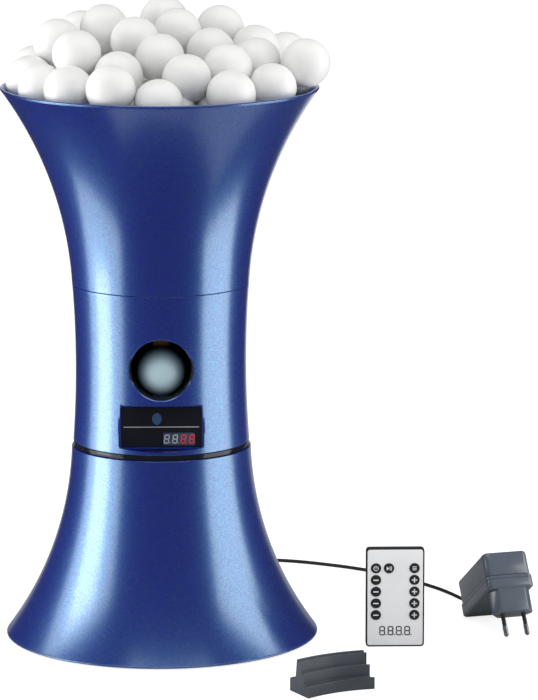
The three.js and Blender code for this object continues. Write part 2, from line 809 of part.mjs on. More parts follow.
function makeHeadShell() {
  const spigotRadius = flareAt(bowlFlare, bowlBottom, SHELL_WALL) - SEAT_GAP;
  const spigotBore = spigotRadius - SPIGOT_WALL;
  const ledgeUnder = ledgeTop - FEED_LEDGE_THICKNESS;
  const profile = [
    ...flareLine(headFlare, headBottom, headTop, 0, WALL_STEPS),
    [spigotRadius, headTop],
    [spigotRadius, headTop + SPIGOT_RISE],
    [spigotBore, headTop + SPIGOT_RISE],
    [spigotBore, ledgeTop],
    [spigotBore - FEED_LEDGE_WIDTH, ledgeTop],
    [spigotBore - FEED_LEDGE_WIDTH, ledgeUnder],
    ...flareLine(headFlare, ledgeUnder, headBottom, SHELL_WALL, WALL_STEPS),
  ];
  return solidOf(turned(profile, ROUND_SIDES));
}

function pocketPrism(width, height, corner, centreZ, front, back) {
  const depth = front - back;
  const shape = rounded(width, height, corner, depth);
  return solidOf(facingFront(shape).translate(0, -back, centreZ));
}

const pocketMiddle = pocketBottom + POCKET_HEIGHT / 2;
const panelMiddle = pocketBottom + PANEL_LIFT + PANEL_HEIGHT / 2;
const pocketBack = PANEL_PLANE - POCKET_WALL;
const panelFront = PANEL_PLANE - SEAT_GAP;
const panelBack = panelFront - PANEL_THICKNESS;

function displayHole(margin, front, back) {
  const hole = rounded(
    DISPLAY_WIDTH + 2 * margin,
    DISPLAY_HEIGHT + 2 * margin,
    PANEL_CORNER / 2,
    front - back,
  );
  return solidOf(facingFront(hole).translate(DISPLAY_X, -back, pocketBottom + DISPLAY_RISE));
}

function windowHole(margin, front, back) {
  const oval = new THREE.Shape();
  oval.absellipse(0, 0, IR_HALF_WIDTH + margin, IR_HALF_HEIGHT + margin, 0, 2 * Math.PI, false);
  const hole = new THREE.ExtrudeGeometry(oval, {
    depth: front - back,
    bevelEnabled: false,
    curveSegments: SMALL_SIDES,
  });
  return solidOf(facingFront(hole).translate(IR_X, -back, pocketBottom + IR_RISE));
}

function makeHousing() {
  const wallLeft = POCKET_WIDTH / 2 + POCKET_WALL_MARGIN;
  const wallBottom = headFloorTop + SEAT_GAP;
  const wallTop = pocketBottom + POCKET_HEIGHT + POCKET_WALL_MARGIN - SEAT_GAP;
  const far = HEAD_WAIST_RADIUS + CUT_OVERRUN;
  const block = solidOf(box(-wallLeft, wallLeft, -far, -pocketBack, wallBottom, wallTop));
  const backing = block.intersect(solidOf(turned(headOutline(headBottom, headTop), ROUND_SIDES)));
  const shell = join(makeHeadShell(), backing);
  const ledgeCut = prism(
    [
      [PANEL_PLANE, pocketBottom + POCKET_CORNER],
      [PANEL_PLANE, pocketBottom],
      [PANEL_PLANE + POCKET_LEDGE_DEPTH, pocketBottom - POCKET_LEDGE_FALL],
      [PANEL_PLANE + POCKET_LEDGE_DEPTH, pocketBottom + POCKET_CORNER],
    ].map(([depth, height]) => [height, depth]),
    POCKET_WIDTH - 2 * POCKET_CORNER,
  );
  ledgeCut.rotateY(-Math.PI / 2);
  ledgeCut.rotateX(Math.PI);
  ledgeCut.rotateY(Math.PI);
  ledgeCut.translate(-POCKET_WIDTH / 2 + POCKET_CORNER, 0, 0);
  const launchHole = alongY(disc(LAUNCH_BORE_RADIUS, -far - CUT_OVERRUN, -WHEEL_SETBACK, MEDIUM_SIDES));
  return cut(
    shell,
    pocketPrism(
      POCKET_WIDTH,
      POCKET_HEIGHT,
      POCKET_CORNER,
      pocketMiddle,
      far + CUT_OVERRUN,
      PANEL_PLANE,
    ),
    solidOf(ledgeCut),
    pocketPrism(
      PANEL_WIDTH + 2 * SEAT_GAP,
      PANEL_HEIGHT + 2 * SEAT_GAP,
      PANEL_CORNER + SEAT_GAP,
      panelMiddle,
      far,
      panelBack - SEAT_GAP,
    ),
    displayHole(SEAT_GAP, far, pocketBack - CUT_OVERRUN),
    windowHole(SEAT_GAP, far, pocketBack - CUT_OVERRUN),
    solidOf(launchHole.translate(0, 0, launchHeight)),
  );
}

function makePanel() {
  const plate = pocketPrism(
    PANEL_WIDTH,
    PANEL_HEIGHT,
    PANEL_CORNER,
    panelMiddle,
    panelFront,
    panelBack,
  );
  return cut(
    plate,
    displayHole(SEAT_GAP, PANEL_PLANE + CUT_OVERRUN, pocketBack),
    windowHole(SEAT_GAP, PANEL_PLANE + CUT_OVERRUN, pocketBack),
  );
}

const displayBack = panelFront - DISPLAY_DEPTH;

function makeBoard() {
  const front = displayBack - SEAT_GAP;
  const board = rounded(BOARD_WIDTH, BOARD_HEIGHT, PANEL_CORNER, BOARD_THICKNESS);
  facingFront(board);
  return solidOf(board.translate(0, -front + BOARD_THICKNESS, panelMiddle));
}

// Head floor, with the posts that carry the oscillation motor

function makeHeadFloor() {
  const radius = flareAt(headFlare, headFloorTop, SHELL_WALL) - SEAT_GAP;
  const floor = ring(
    SPINDLE_RADIUS + SEAT_GAP,
    radius,
    headBottom,
    headFloorTop,
    ROUND_SIDES,
  );
  const posts = [-1, 1].map((side) => {
    const post = disc(POST_RADIUS, headBottom, gearTop + POST_TOP_GAP, SMALL_SIDES);
    return solidOf(post.translate((side * POST_SPACING) / 2, gearDistance, 0));
  });
  return join(solidOf(floor), ...posts);
}

function makeOscillationMotor() {
  const plateBottom = gearTop + POST_TOP_GAP + SEAT_GAP;
  const plateTop = plateBottom + GEARMOTOR_PLATE_THICKNESS;
  const plate = rounded(
    GEARMOTOR_PLATE_LENGTH,
    GEARMOTOR_PLATE_WIDTH,
    POST_RADIUS,
    GEARMOTOR_PLATE_THICKNESS,
  );
  plate.translate(0, 0, plateBottom);
  const can = disc(GEARMOTOR_RADIUS, plateBottom, plateTop + GEARMOTOR_HEIGHT, MEDIUM_SIDES);
  const shaft = disc(GEARMOTOR_SHAFT_RADIUS, gearBottom, plateTop, SMALL_SIDES);
  const motor = join(solidOf(plate), solidOf(can), solidOf(shaft));
  return motor.translate([0, gearDistance, 0]);
}

// Launching frame: the barrel, the plates that carry the wheel motors, and the side wings

function makeLaunchFrame() {
  const far = HEAD_WAIST_RADIUS + CUT_OVERRUN;
  const barrel = alongY(disc(barrelRadius, -far, BARREL_REAR, MEDIUM_SIDES));
  barrel.translate(0, 0, launchHeight);
  const bore = alongY(disc(LAUNCH_BORE_RADIUS, -far - CUT_OVERRUN, BARREL_REAR + CUT_OVERRUN, MEDIUM_SIDES));
  bore.translate(0, 0, launchHeight);
  const slotHalfLength = WHEEL_RADIUS + WHEEL_END_GAP;
  const slot = box(
    -slotHalfWidth,
    slotHalfWidth,
    -WHEEL_SETBACK - slotHalfLength,
    -WHEEL_SETBACK + slotHalfLength,
    launchHeight - barrelRadius - CUT_OVERRUN,
    launchHeight + barrelRadius + CUT_OVERRUN,
  );
  const plateEnd = wheelOffset + PLATE_BEYOND_AXIS;
  const plates = [1, -1].map((side) => {
    const inner = side * PLATE_OFFSET;
    const outer = side * (PLATE_OFFSET + PLATE_THICKNESS);
    const reach = ballHeight + side * plateEnd;
    const plate = box(
      Math.min(inner, outer),
      Math.max(inner, outer),
      -WHEEL_SETBACK - PLATE_HALF_LENGTH,
      -WHEEL_SETBACK + PLATE_HALF_LENGTH,
      Math.min(launchHeight, reach),
      Math.max(launchHeight, reach),
    );
    const hole = alongX(disc(MOTOR_BOSS_RADIUS + SEAT_GAP, -far, far, SMALL_SIDES));
    hole.translate(0, -WHEEL_SETBACK, ballHeight + side * wheelOffset);
    return cut(solidOf(plate), solidOf(hole));
  });
  const wings = box(
    -far,
    far,
    -WING_FRONT,
    WING_LENGTH - WING_FRONT,
    launchHeight - WING_THICKNESS / 2,
    launchHeight + WING_THICKNESS / 2,
  );
  const limit = disc(headBore, headBottom, headTop, ROUND_SIDES);
  const whole = join(solidOf(barrel), ...plates, solidOf(wings)).intersect(solidOf(limit));
  return cut(whole, solidOf(bore), solidOf(slot));
}

// A wheel motor lies along X, its shaft through the wheel. side 1 is the upper motor on the
// right, side -1 the lower one on the left.
function makeWheelMotor(side) {
  const front = PLATE_OFFSET + PLATE_THICKNESS + SEAT_GAP;
  const can = rounded(MOTOR_WIDTH, MOTOR_FLATS, MOTOR_CORNER, MOTOR_LENGTH);
  can.rotateZ(Math.PI / 2);
  can.translate(0, 0, front);
  const back = front + MOTOR_LENGTH;
  const cap = disc(MOTOR_CAP_RADIUS, back - MOTOR_CAP_LENGTH, back + MOTOR_CAP_LENGTH, SMALL_SIDES);
  const boss = disc(MOTOR_BOSS_RADIUS, PLATE_OFFSET, front + MOTOR_CAP_LENGTH, SMALL_SIDES);
  const shaft = disc(MOTOR_SHAFT_RADIUS, -WHEEL_WIDTH / 2, front + MOTOR_CAP_LENGTH, SMALL_SIDES);
  const motor = [can, cap, boss, shaft].map((part) => solidOf(alongX(part)));
  const whole = join(...motor);
  const turnedRound = side > 0 ? whole : whole.rotate([0, 0, 180]);
  return turnedRound.translate([0, -WHEEL_SETBACK, ballHeight + side * wheelOffset]);
}

function placeWheel(geometry, side) {
  alongX(geometry);
  return solidOf(geometry.translate(0, -WHEEL_SETBACK, ballHeight + side * wheelOffset));
}

function makeTyre(side) {
  const half = WHEEL_WIDTH / 2;
  const bore = WHEEL_RADIUS - TYRE_THICKNESS;
  const shoulder = WHEEL_RADIUS - TYRE_THICKNESS / 4;
  const profile = [
    [bore, -half],
    [shoulder, -half],
    [WHEEL_RADIUS, -half + TYRE_THICKNESS / 4],
    [WHEEL_RADIUS, half - TYRE_THICKNESS / 4],
    [shoulder, half],
    [bore, half],
  ];
  return placeWheel(turned(profile, MEDIUM_SIDES), side);
}

// A wheel hub is a dish: a boss on the motor's shaft, a web and a rim under the tyre
function makeHub(side) {
  const half = WHEEL_WIDTH / 2;
  const rim = WHEEL_RADIUS - TYRE_THICKNESS - SEAT_GAP;
  const rimInner = rim - PLATE_THICKNESS;
  const bossRadius = MOTOR_BOSS_RADIUS + PLATE_THICKNESS / 2;
  const bore = MOTOR_SHAFT_RADIUS + SEAT_GAP;
  const web = PLATE_THICKNESS - half;
  const profile = [
    [bore, -half],
    [rim, -half],
    [rim, half],
    [rimInner, half],
    [rimInner, web],
    [bossRadius, web],
    [bossRadius, half],
    [bore, half],
  ];
  return placeWheel(turned(profile, MEDIUM_SIDES), side);
}

function makeLauncherBall() {
  const ball = new THREE.IcosahedronGeometry(ballRadius, 2);
  return solidOf(ball.translate(0, -WHEEL_SETBACK - ballForward, ballHeight));
}

// Feed deck, its tube down to the barrel, and the pocketed rotor on its motor

function makeFeedDeck() {
  const radius = flareAt(bowlFlare, bowlBottom, SHELL_WALL) - SPIGOT_WALL - 2 * SEAT_GAP;
  const plate = disc(radius, deckBottom, deckTop, ROUND_SIDES);
  const drop = disc(FEED_TUBE_RADIUS, deckBottom - CUT_OVERRUN, deckTop + CUT_OVERRUN, MEDIUM_SIDES);
  const shaftHole = disc(
    MOTOR_CAP_RADIUS + SEAT_GAP,
    deckBottom - CUT_OVERRUN,
    deckTop + CUT_OVERRUN,
    SMALL_SIDES,
  );
  return cut(solidOf(plate), solidOf(drop.translate(0, FEED_OFFSET, 0)), solidOf(shaftHole));
}

class FeedPath extends THREE.Curve {
  constructor() {
    super();
    this.top = deckBottom - SEAT_GAP;
    this.bendTop = feedTubeHeight + FEED_BEND_RADIUS;
    this.drop = this.top - this.bendTop;
    this.bend = (FEED_BEND_RADIUS * Math.PI) / 2;
    this.run = FEED_OFFSET - FEED_BEND_RADIUS - BARREL_REAR - SEAT_GAP;
  }

  getPoint(t, target = new THREE.Vector3()) {
    const way = t * (this.drop + this.bend + this.run);
    if (way <= this.drop) return target.set(0, FEED_OFFSET, this.top - way);
    const angle = Math.min((way - this.drop) / FEED_BEND_RADIUS, Math.PI / 2);
    const rest = Math.max(way - this.drop - this.bend, 0);
    const y = FEED_OFFSET - FEED_BEND_RADIUS * (1 - Math.cos(angle)) - rest;
    return target.set(0, y, this.bendTop - FEED_BEND_RADIUS * Math.sin(angle));
  }
}

function sweepDisc(radius, path, steps) {
  const section = new THREE.Shape();
  section.absarc(0, 0, radius, 0, 2 * Math.PI, false);
  return new THREE.ExtrudeGeometry(section, {
    steps,
    extrudePath: path,
    bevelEnabled: false,
    curveSegments: MEDIUM_SIDES / 2,
  });
}

function makeFeedTube() {
  const path = new FeedPath();
  const steps = 2 * FEED_BEND_STEPS;
  const outer = solidOf(sweepDisc(feedTubeOuter, path, steps));
  const bore = solidOf(sweepDisc(FEED_TUBE_RADIUS, path, steps));
  const mouth = disc(FEED_TUBE_RADIUS, path.top - CUT_OVERRUN, path.top + CUT_OVERRUN, MEDIUM_SIDES);
  return cut(outer, bore, solidOf(mouth.translate(0, FEED_OFFSET, 0)));
}

function makeFeedMotor() {
  const top = deckBottom - SEAT_GAP;
  const can = disc(GEARMOTOR_RADIUS, top - GEARMOTOR_HEIGHT, top, MEDIUM_SIDES);
  const boss = disc(MOTOR_CAP_RADIUS, top - MOTOR_CAP_LENGTH, deckTop - SEAT_GAP, SMALL_SIDES);
  const shaft = disc(GEARMOTOR_SHAFT_RADIUS, top, deckTop + ROTOR_RIM_HEIGHT, SMALL_SIDES);
  return join(solidOf(can), solidOf(boss), solidOf(shaft));
}

function makeRotor() {
  const bottom = deckTop + SEAT_GAP;
  const rimTop = bottom + ROTOR_RIM_HEIGHT;
  const coneTop = rimTop + ROTOR_CONE_RISE;
  const knobTop = coneTop + ROTOR_KNOB_RISE;
  const bore = GEARMOTOR_SHAFT_RADIUS + SEAT_GAP;
  const profile = [
    [0, rimTop],
    [bore, rimTop],
    [bore, bottom],
    [ROTOR_RADIUS, bottom],
    [ROTOR_RADIUS, rimTop],
    [ROTOR_CONE_RADIUS, coneTop],
    [ROTOR_KNOB_RADIUS, knobTop],
    [0, knobTop],
  ];
  const pockets = [];
  for (let i = 0; i < ROTOR_POCKETS; i++) {
    const angle = Math.PI / 2 + (2 * Math.PI * i) / ROTOR_POCKETS;
    const pocket = disc(FEED_TUBE_RADIUS, bottom - CUT_OVERRUN, knobTop, MEDIUM_SIDES);
    pocket.translate(FEED_OFFSET * Math.cos(angle), FEED_OFFSET * Math.sin(angle), 0);
    pockets.push(solidOf(pocket));
  }
  return cut(solidOf(turned(profile, ROUND_SIDES)), ...pockets);
}

// Bowl

function makeBowl() {
  const beadBottom = bowlTop - RIM_BEAD_HEIGHT;
  const profile = [
    ...flareLine(bowlFlare, bowlBottom, beadBottom, 0),
    [rimRadius, beadBottom],
    [rimRadius, bowlTop],
    ...flareLine(bowlFlare, bowlTop, bowlBottom, SHELL_WALL),
  ];
  return solidOf(turned(profile, ROUND_SIDES));
}

// Ball heap: the places draw in where the rim is too narrow for them, and a ball is in the heap
// where it fits in the bowl and lies in the raft or on another ball

const facetRadius = ballRadius * BALL_FACET_SWELL;
const rimInner = flareAt(bowlFlare, bowlTop, SHELL_WALL);
const raftTop = bowlTop + RAFT_RISE;
const heapSpread = Math.min((rimInner - facetRadius) / HEAP_CIRCLE_RADIUS, 1);

function fitsInBowl(place) {
  const out = Math.hypot(place.x, place.y);
  const needed = facetRadius + SEAT_GAP;
  if (place.z > bowlTop) return Math.hypot(rimInner - out, place.z - bowlTop) > needed;
  const wall = Math.hypot(bowlFlare.r - out, place.z - bowlFlare.z) - bowlFlare.arcRadius;
  return wall - SHELL_WALL > needed;
}

function makeHeap() {
  const bottom = bowlTop - RAFT_BOTTOM_DROP;
  const shoulder = bowlTop - RAFT_SHOULDER_DROP;
  const inset = SHELL_WALL + SEAT_GAP;
  const raft = [
    [0, bottom],
    [flareAt(bowlFlare, bottom, inset), bottom],
    [flareAt(bowlFlare, shoulder, inset), shoulder],
    [RAFT_TOP_RADIUS, raftTop],
    [0, raftTop],
  ];
  const inner = facetRadius * FACET_INNER_SHARE;
  const lying = [];
  for (const shares of HEAP_PLACE_SHARES) {
    const place = new THREE.Vector3(...shares).multiplyScalar(BALL_DIAMETER);
    place.set(place.x * heapSpread, place.y * heapSpread, place.z + bowlTop);
    const inRaft = place.z - inner < shoulder;
    const onBall = lying.some((other) => other.distanceTo(place) < 2 * inner);
    const overTop = Math.hypot(place.x, place.y) < RAFT_TOP_RADIUS && place.z - inner < raftTop;
    if (fitsInBowl(place) && (inRaft || onBall || overTop)) lying.push(place);
  }
  const balls = lying.map((place) => {
    const ball = new THREE.IcosahedronGeometry(facetRadius, 1);
    return solidOf(ball.translate(place.x, place.y, place.z));
  });
  return join(solidOf(turned(raft, MEDIUM_SIDES)), ...balls);
}

// Adapter: the group's x runs across its width, y along its length from the far edge, and z
// from its front to its back

function makeAdapterFront() {
  const body = softBlock(
    ADAPTER_WIDTH,
    ADAPTER_LENGTH,
    ADAPTER_CORNER,
    ADAPTER_FRONT_DEPTH,
    ADAPTER_EDGE,
  );
  body.translate(0, ADAPTER_LENGTH / 2, 0);
  const faceHalf = PLUG_BLOCK_FACE_WIDTH / 2;
  const wideHalf = PLUG_BLOCK_WIDTH / 2;
  const deepHalf = PLUG_BLOCK_DEPTH / 2;
  const outline = [
    [-faceHalf, -deepHalf],
    [faceHalf, -deepHalf],
    [wideHalf, -PLUG_BLOCK_DRAFT],
    [wideHalf, PLUG_BLOCK_DRAFT],
    [faceHalf, deepHalf],
    [-faceHalf, deepHalf],
    [-wideHalf, PLUG_BLOCK_DRAFT],
    [-wideHalf, -PLUG_BLOCK_DRAFT],
  ];
  const block = new THREE.ExtrudeGeometry(
    new THREE.Shape(outline.map(([x, y]) => new THREE.Vector2(x, y))),
    {
      depth: PLUG_BLOCK_HEIGHT,
      bevelEnabled: true,
      bevelThickness: PLUG_BLOCK_DRAFT,
      bevelSize: PLUG_BLOCK_DRAFT,
      bevelOffset: -PLUG_BLOCK_DRAFT,
      bevelSegments: 1,
    },
  );
  block.translate(0, ADAPTER_LENGTH - PLUG_INSET, PLUG_BLOCK_DRAFT - PLUG_BLOCK_HEIGHT);
  const holes = [-1, 1].map((side) => {
    const depth = PLUG_BLOCK_HEIGHT - PIN_ROOT - SEAT_GAP;
    const hole = disc(PIN_RADIUS + SEAT_GAP, -PLUG_BLOCK_HEIGHT - CUT_OVERRUN, -depth, SMALL_SIDES);
    return solidOf(hole.translate((side * PIN_SPACING) / 2, ADAPTER_LENGTH - PLUG_INSET, 0));
  });
  return cut(join(solidOf(body), solidOf(block)), ...holes);
}

function makeAdapterBack() {
  const width = ADAPTER_WIDTH - 2 * ADAPTER_STEP_IN;
  const length = ADAPTER_LENGTH - 2 * ADAPTER_STEP_IN;
  const body = softBlock(width, length, ADAPTER_CORNER, ADAPTER_BACK_DEPTH, ADAPTER_BACK_EDGE);
  return solidOf(body.translate(0, ADAPTER_LENGTH / 2, ADAPTER_FRONT_DEPTH + SEAT_GAP));
}

function makeAdapterPin(side) {
  const tip = -PLUG_BLOCK_HEIGHT - PIN_LENGTH;
  const sleeve = PIN_RADIUS - PIN_SLEEVE_WAIST;
  const sleeveEnd = -PLUG_BLOCK_HEIGHT - PIN_SLEEVE_LENGTH;
  const profile = [
    [0, tip],
    [PIN_RADIUS / 2, tip],
    [PIN_RADIUS, tip + PIN_RADIUS],
    [PIN_RADIUS, sleeveEnd],
    [sleeve, sleeveEnd],
    [sleeve, -PLUG_BLOCK_HEIGHT],
    [PIN_RADIUS, -PLUG_BLOCK_HEIGHT],
    [PIN_RADIUS, -PLUG_BLOCK_HEIGHT + PIN_ROOT],
    [0, -PLUG_BLOCK_HEIGHT + PIN_ROOT],
  ];
  const pin = turned(profile, SMALL_SIDES);
  return solidOf(pin.translate((side * PIN_SPACING) / 2, ADAPTER_LENGTH - PLUG_INSET, 0));
}

function makeAdapterRelief() {
  const start = SEAT_GAP - ADAPTER_STEP_IN;
  const profile = [
    [0, start],
    [RELIEF_ROOT_RADIUS, start],
    [RELIEF_END_RADIUS, start + RELIEF_LENGTH],
    [0, start + RELIEF_LENGTH],
  ];
  const relief = turned(profile, SMALL_SIDES);
  relief.rotateX(Math.PI / 2);
  return solidOf(relief.translate(0, 0, RELIEF_DEPTH_PLACE));
}

function makeAdapter() {
  const group = new THREE.Group();
  group.add(piece("adapter_front_shell", makeAdapterFront(), blackAbs));
  group.add(piece("adapter_back_shell", makeAdapterBack(), blackAbs));
  group.add(piece("adapter_pin_left", makeAdapterPin(-1), steel));
  group.add(piece("adapter_pin_right", makeAdapterPin(1), steel));
  group.add(piece("adapter_strain_relief", makeAdapterRelief(), rubberBlack));
  const edge = ADAPTER_EDGE;
  const reach = ADAPTER_LENGTH - PLUG_INSET - PIN_RADIUS / 2 - edge;
  const tilt = Math.atan2(PLUG_BLOCK_HEIGHT + PIN_LENGTH, reach);
  const yaw = THREE.MathUtils.degToRad(ADAPTER_YAW_DEG);
  group.rotation.set(tilt, 0, yaw + Math.PI, "ZXY");
  group.position.set(ADAPTER_X, ADAPTER_Y, SEAT_GAP / 2 - edge * Math.sin(tilt));
  group.updateMatrixWorld(true);
  return group;
}

// Remote control: its group's origin is the middle of its lower edge, at the middle of its
// thickness. The face looks towards -Y.

const remoteFront = REMOTE_THICKNESS / 2;
const faceBack = remoteFront - REMOTE_FACE_THICKNESS;
const remoteCavityBack = -remoteFront + REMOTE_BACK_WALL;

function remotePlate(width, height, corner, front, back, lift) {
  const plate = rounded(width, height, corner, front - back);
  return solidOf(facingFront(plate).translate(0, -back, lift + height / 2));
}

const trayFront = remoteCavityBack + SEAT_GAP + TRAY_THICKNESS;

function trayMouth(margin, inner, outer) {
  return solidOf(
    box(
      inner,
      outer,
      -trayFront - margin,
      -trayFront + TRAY_THICKNESS + margin,
      TRAY_Z - TRAY_WIDTH / 2 - margin,
      TRAY_Z + TRAY_WIDTH / 2 + margin,
    ),
  );
}

function makeRemoteCase() {
  const body = remotePlate(
    REMOTE_WIDTH,
    REMOTE_HEIGHT,
    REMOTE_CORNER,
    remoteFront,
    -remoteFront,
    0,
  );
  const cavity = remotePlate(
    REMOTE_WIDTH - 2 * REMOTE_RIM,
    REMOTE_HEIGHT - 2 * REMOTE_RIM,
    REMOTE_CORNER - REMOTE_RIM,
    remoteFront + CUT_OVERRUN,
    remoteCavityBack,
    REMOTE_RIM,
  );
  const mouth = trayMouth(SEAT_GAP, 0, REMOTE_WIDTH);
  const lens = disc(REMOTE_LED_RADIUS + SEAT_GAP, 0, REMOTE_HEIGHT + CUT_OVERRUN, SMALL_SIDES);
  const ledHole = solidOf(lens);
  const ledSlot = ledHole.intersect(
    solidOf(box(-REMOTE_WIDTH, REMOTE_WIDTH, -REMOTE_WIDTH, REMOTE_WIDTH, REMOTE_HEIGHT / 2, REMOTE_HEIGHT + CUT_OVERRUN)),
  );
  return cut(body, cavity, mouth, ledSlot);
}

const buttonSpots = [
  ["power", -BUTTON_SIDE_X, 0],
  ["play", BUTTON_PLAY_X, 0],
  ["mode", BUTTON_SIDE_X, 0],
  ["frequency_minus", -BUTTON_SIDE_X, 1],
  ["frequency_plus", BUTTON_SIDE_X, 1],
  ["oscillation_minus", -BUTTON_SIDE_X, 2],
  ["oscillation_plus", BUTTON_SIDE_X, 2],
  ["topspin_minus", -BUTTON_SIDE_X, 3],
  ["topspin_plus", BUTTON_SIDE_X, 3],
  ["backspin_minus", -BUTTON_SIDE_X, 4],
  ["backspin_plus", BUTTON_SIDE_X, 4],
];

function buttonHeight(row) {
  return BUTTON_TOP_ROW - row * BUTTON_ROW_PITCH;
}

function makeRemoteFace() {
  const inset = REMOTE_RIM + SEAT_GAP;
  const plate = remotePlate(
    REMOTE_WIDTH - 2 * inset,
    REMOTE_HEIGHT - 2 * inset,
    REMOTE_CORNER - REMOTE_RIM,
    remoteFront,
    faceBack,
    inset,
  );
  const holes = buttonSpots.map(([, x, row]) => {
    const hole = alongY(disc(BUTTON_HOLE_RADIUS, -REMOTE_THICKNESS, REMOTE_THICKNESS, BUTTON_SIDES));
    return solidOf(hole.translate(x, 0, buttonHeight(row)));
  });
  return cut(plate, ...holes);
}

function makeButton(x, row) {
  const front = remoteFront + BUTTON_PROUD;
  const flangeFront = faceBack - SEAT_GAP;
  const flangeBack = flangeFront - BUTTON_FLANGE_THICKNESS;
  const profile = [
    [0, -front],
    [BUTTON_RADIUS, -front],
    [BUTTON_RADIUS, -flangeFront],
    [BUTTON_FLANGE_RADIUS, -flangeFront],
    [BUTTON_FLANGE_RADIUS, -flangeBack],
    [0, -flangeBack],
  ];
  return solidOf(alongY(turned(profile, BUTTON_SIDES)).translate(x, 0, buttonHeight(row)));
}

function makeRemoteBoard() {
  const front = remoteFront - REMOTE_BOARD_DEPTH;
  const inset = REMOTE_RIM + 2 * SEAT_GAP;
  const board = remotePlate(
    REMOTE_WIDTH - 2 * inset,
    REMOTE_HEIGHT - 2 * inset,
    REMOTE_CORNER - REMOTE_RIM,
    front,
    front - REMOTE_BOARD_THICKNESS,
    inset,
  );
  const top = REMOTE_HEIGHT - SEAT_GAP;
  const lens = disc(REMOTE_LED_RADIUS, top - REMOTE_LED_LENGTH, top, SMALL_SIDES);
  return join(board, solidOf(lens));
}

function makeTray() {
  const edge = REMOTE_WIDTH / 2 - SEAT_GAP;
  const tray = trayMouth(0, edge - TRAY_LENGTH, edge);
  const cellX = edge - CELL_EDGE_MARGIN - CELL_DIAMETER / 2 - REMOTE_RIM;
  const pocket = alongY(
    disc(
      CELL_DIAMETER / 2 + SEAT_GAP,
      -trayFront - CUT_OVERRUN,
      -trayFront + CELL_THICKNESS + SEAT_GAP / 2,
      MEDIUM_SIDES,
    ),
  );
  return cut(tray, solidOf(pocket.translate(cellX, 0, TRAY_Z)));
}

function makeCell() {
  const edge = REMOTE_WIDTH / 2 - SEAT_GAP;
  const cellX = edge - CELL_EDGE_MARGIN - CELL_DIAMETER / 2 - REMOTE_RIM;
  const cell = alongY(
    disc(
      CELL_DIAMETER / 2,
      -trayFront - SEAT_GAP / 2,
      -trayFront + CELL_THICKNESS - SEAT_GAP / 2,
      MEDIUM_SIDES,
    ),
  );
  return solidOf(cell.translate(cellX, 0, TRAY_Z));
}

function makeRemote() {
  const group = new THREE.Group();
  group.add(piece("remote_case", makeRemoteCase(), mattBlack));
  group.add(piece("remote_face", makeRemoteFace(), faceGrey));
  group.add(piece("remote_board", makeRemoteBoard(), boardGreen));
  group.add(piece("battery_tray", makeTray(), mattBlack));
  group.add(piece("coin_cell", makeCell(), steel));
  for (const [name, x, row] of buttonSpots) {
    group.add(piece("button_" + name, makeButton(x, row), mattBlack));
  }
  group.position.set(REMOTE_X, REMOTE_Y, 0);
  return group;
}

// Tilt stand

function makeStand() {
  const points = [[0, 0]];
  STAND_RISERS.forEach((riser, i) => {
    const tread = STAND_STEP_HEIGHT * (i + 1);
    points.push([riser, tread + STAND_LIP_HEIGHT]);
    points.push([riser + STAND_LIP_WIDTH, tread + STAND_LIP_HEIGHT]);
    points.push([riser + STAND_LIP_WIDTH + STAND_LIP_HEIGHT / 2, tread]);
    if (i + 1 < STAND_RISERS.length) points.push([STAND_RISERS[i + 1], tread]);
  });
  const top = STAND_STEP_HEIGHT * STAND_RISERS.length;
  points.push([STAND_TOP_BACK, top]);
  points.push([STAND_TOP_BACK, top + STAND_BACK_RISE]);
  points.push([STAND_WALL_TOP, top + STAND_BACK_RISE]);
  points.push([STAND_WALL_FOOT, STAND_LEDGE_HEIGHT + STAND_LIP_HEIGHT]);
  points.push([STAND_DEPTH, STAND_LEDGE_HEIGHT]);
  points.push([STAND_DEPTH, 0]);
  const profile = points.map(([s, z]) => [STAND_BOW_RADIUS + s, z]).reverse();
  const ringSolid = solidOf(turned(profile, STAND_RING_SIDES));
  const half = STAND_LENGTH / 2;
  const middle = Math.sqrt(STAND_BOW_RADIUS ** 2 - half ** 2);
  const slab = box(
    -half,
    half,
    0,
    STAND_BOW_RADIUS + STAND_DEPTH + CUT_OVERRUN,
    -CUT_OVERRUN,
    top + STAND_BACK_RISE + CUT_OVERRUN,
  );
  return ringSolid.intersect(solidOf(slab)).translate([0, -middle, 0]);
}

// Assembly

const robot = new THREE.Group();

function addBase() {
  robot.add(piece("base_skirt", makeBaseSkirt(), pearlBlue));
  robot.add(piece("base_cover", makeBaseCover(), greyAbs));
  for (let i = 0; i < FEET; i++) {
    const angle = Math.PI / FEET + (2 * Math.PI * i) / FEET;
    const foot = piece("foot_" + (i + 1), makeFoot(FOOT_RADIUS), rubberBlack);
    foot.position.set(footCircle * Math.cos(angle), footCircle * Math.sin(angle), 0);
    robot.add(foot);
  }
  robot.add(piece("foot_centre", makeFoot(CENTRE_FOOT_RADIUS), rubberBlack));
  robot.add(piece("turntable", makeTurntable(), glossBlack));
  robot.add(piece("sun_gear", makeSunGear(), gearWhite));
  robot.add(piece("dc_inlet", makeInlet(), blackAbs));
}

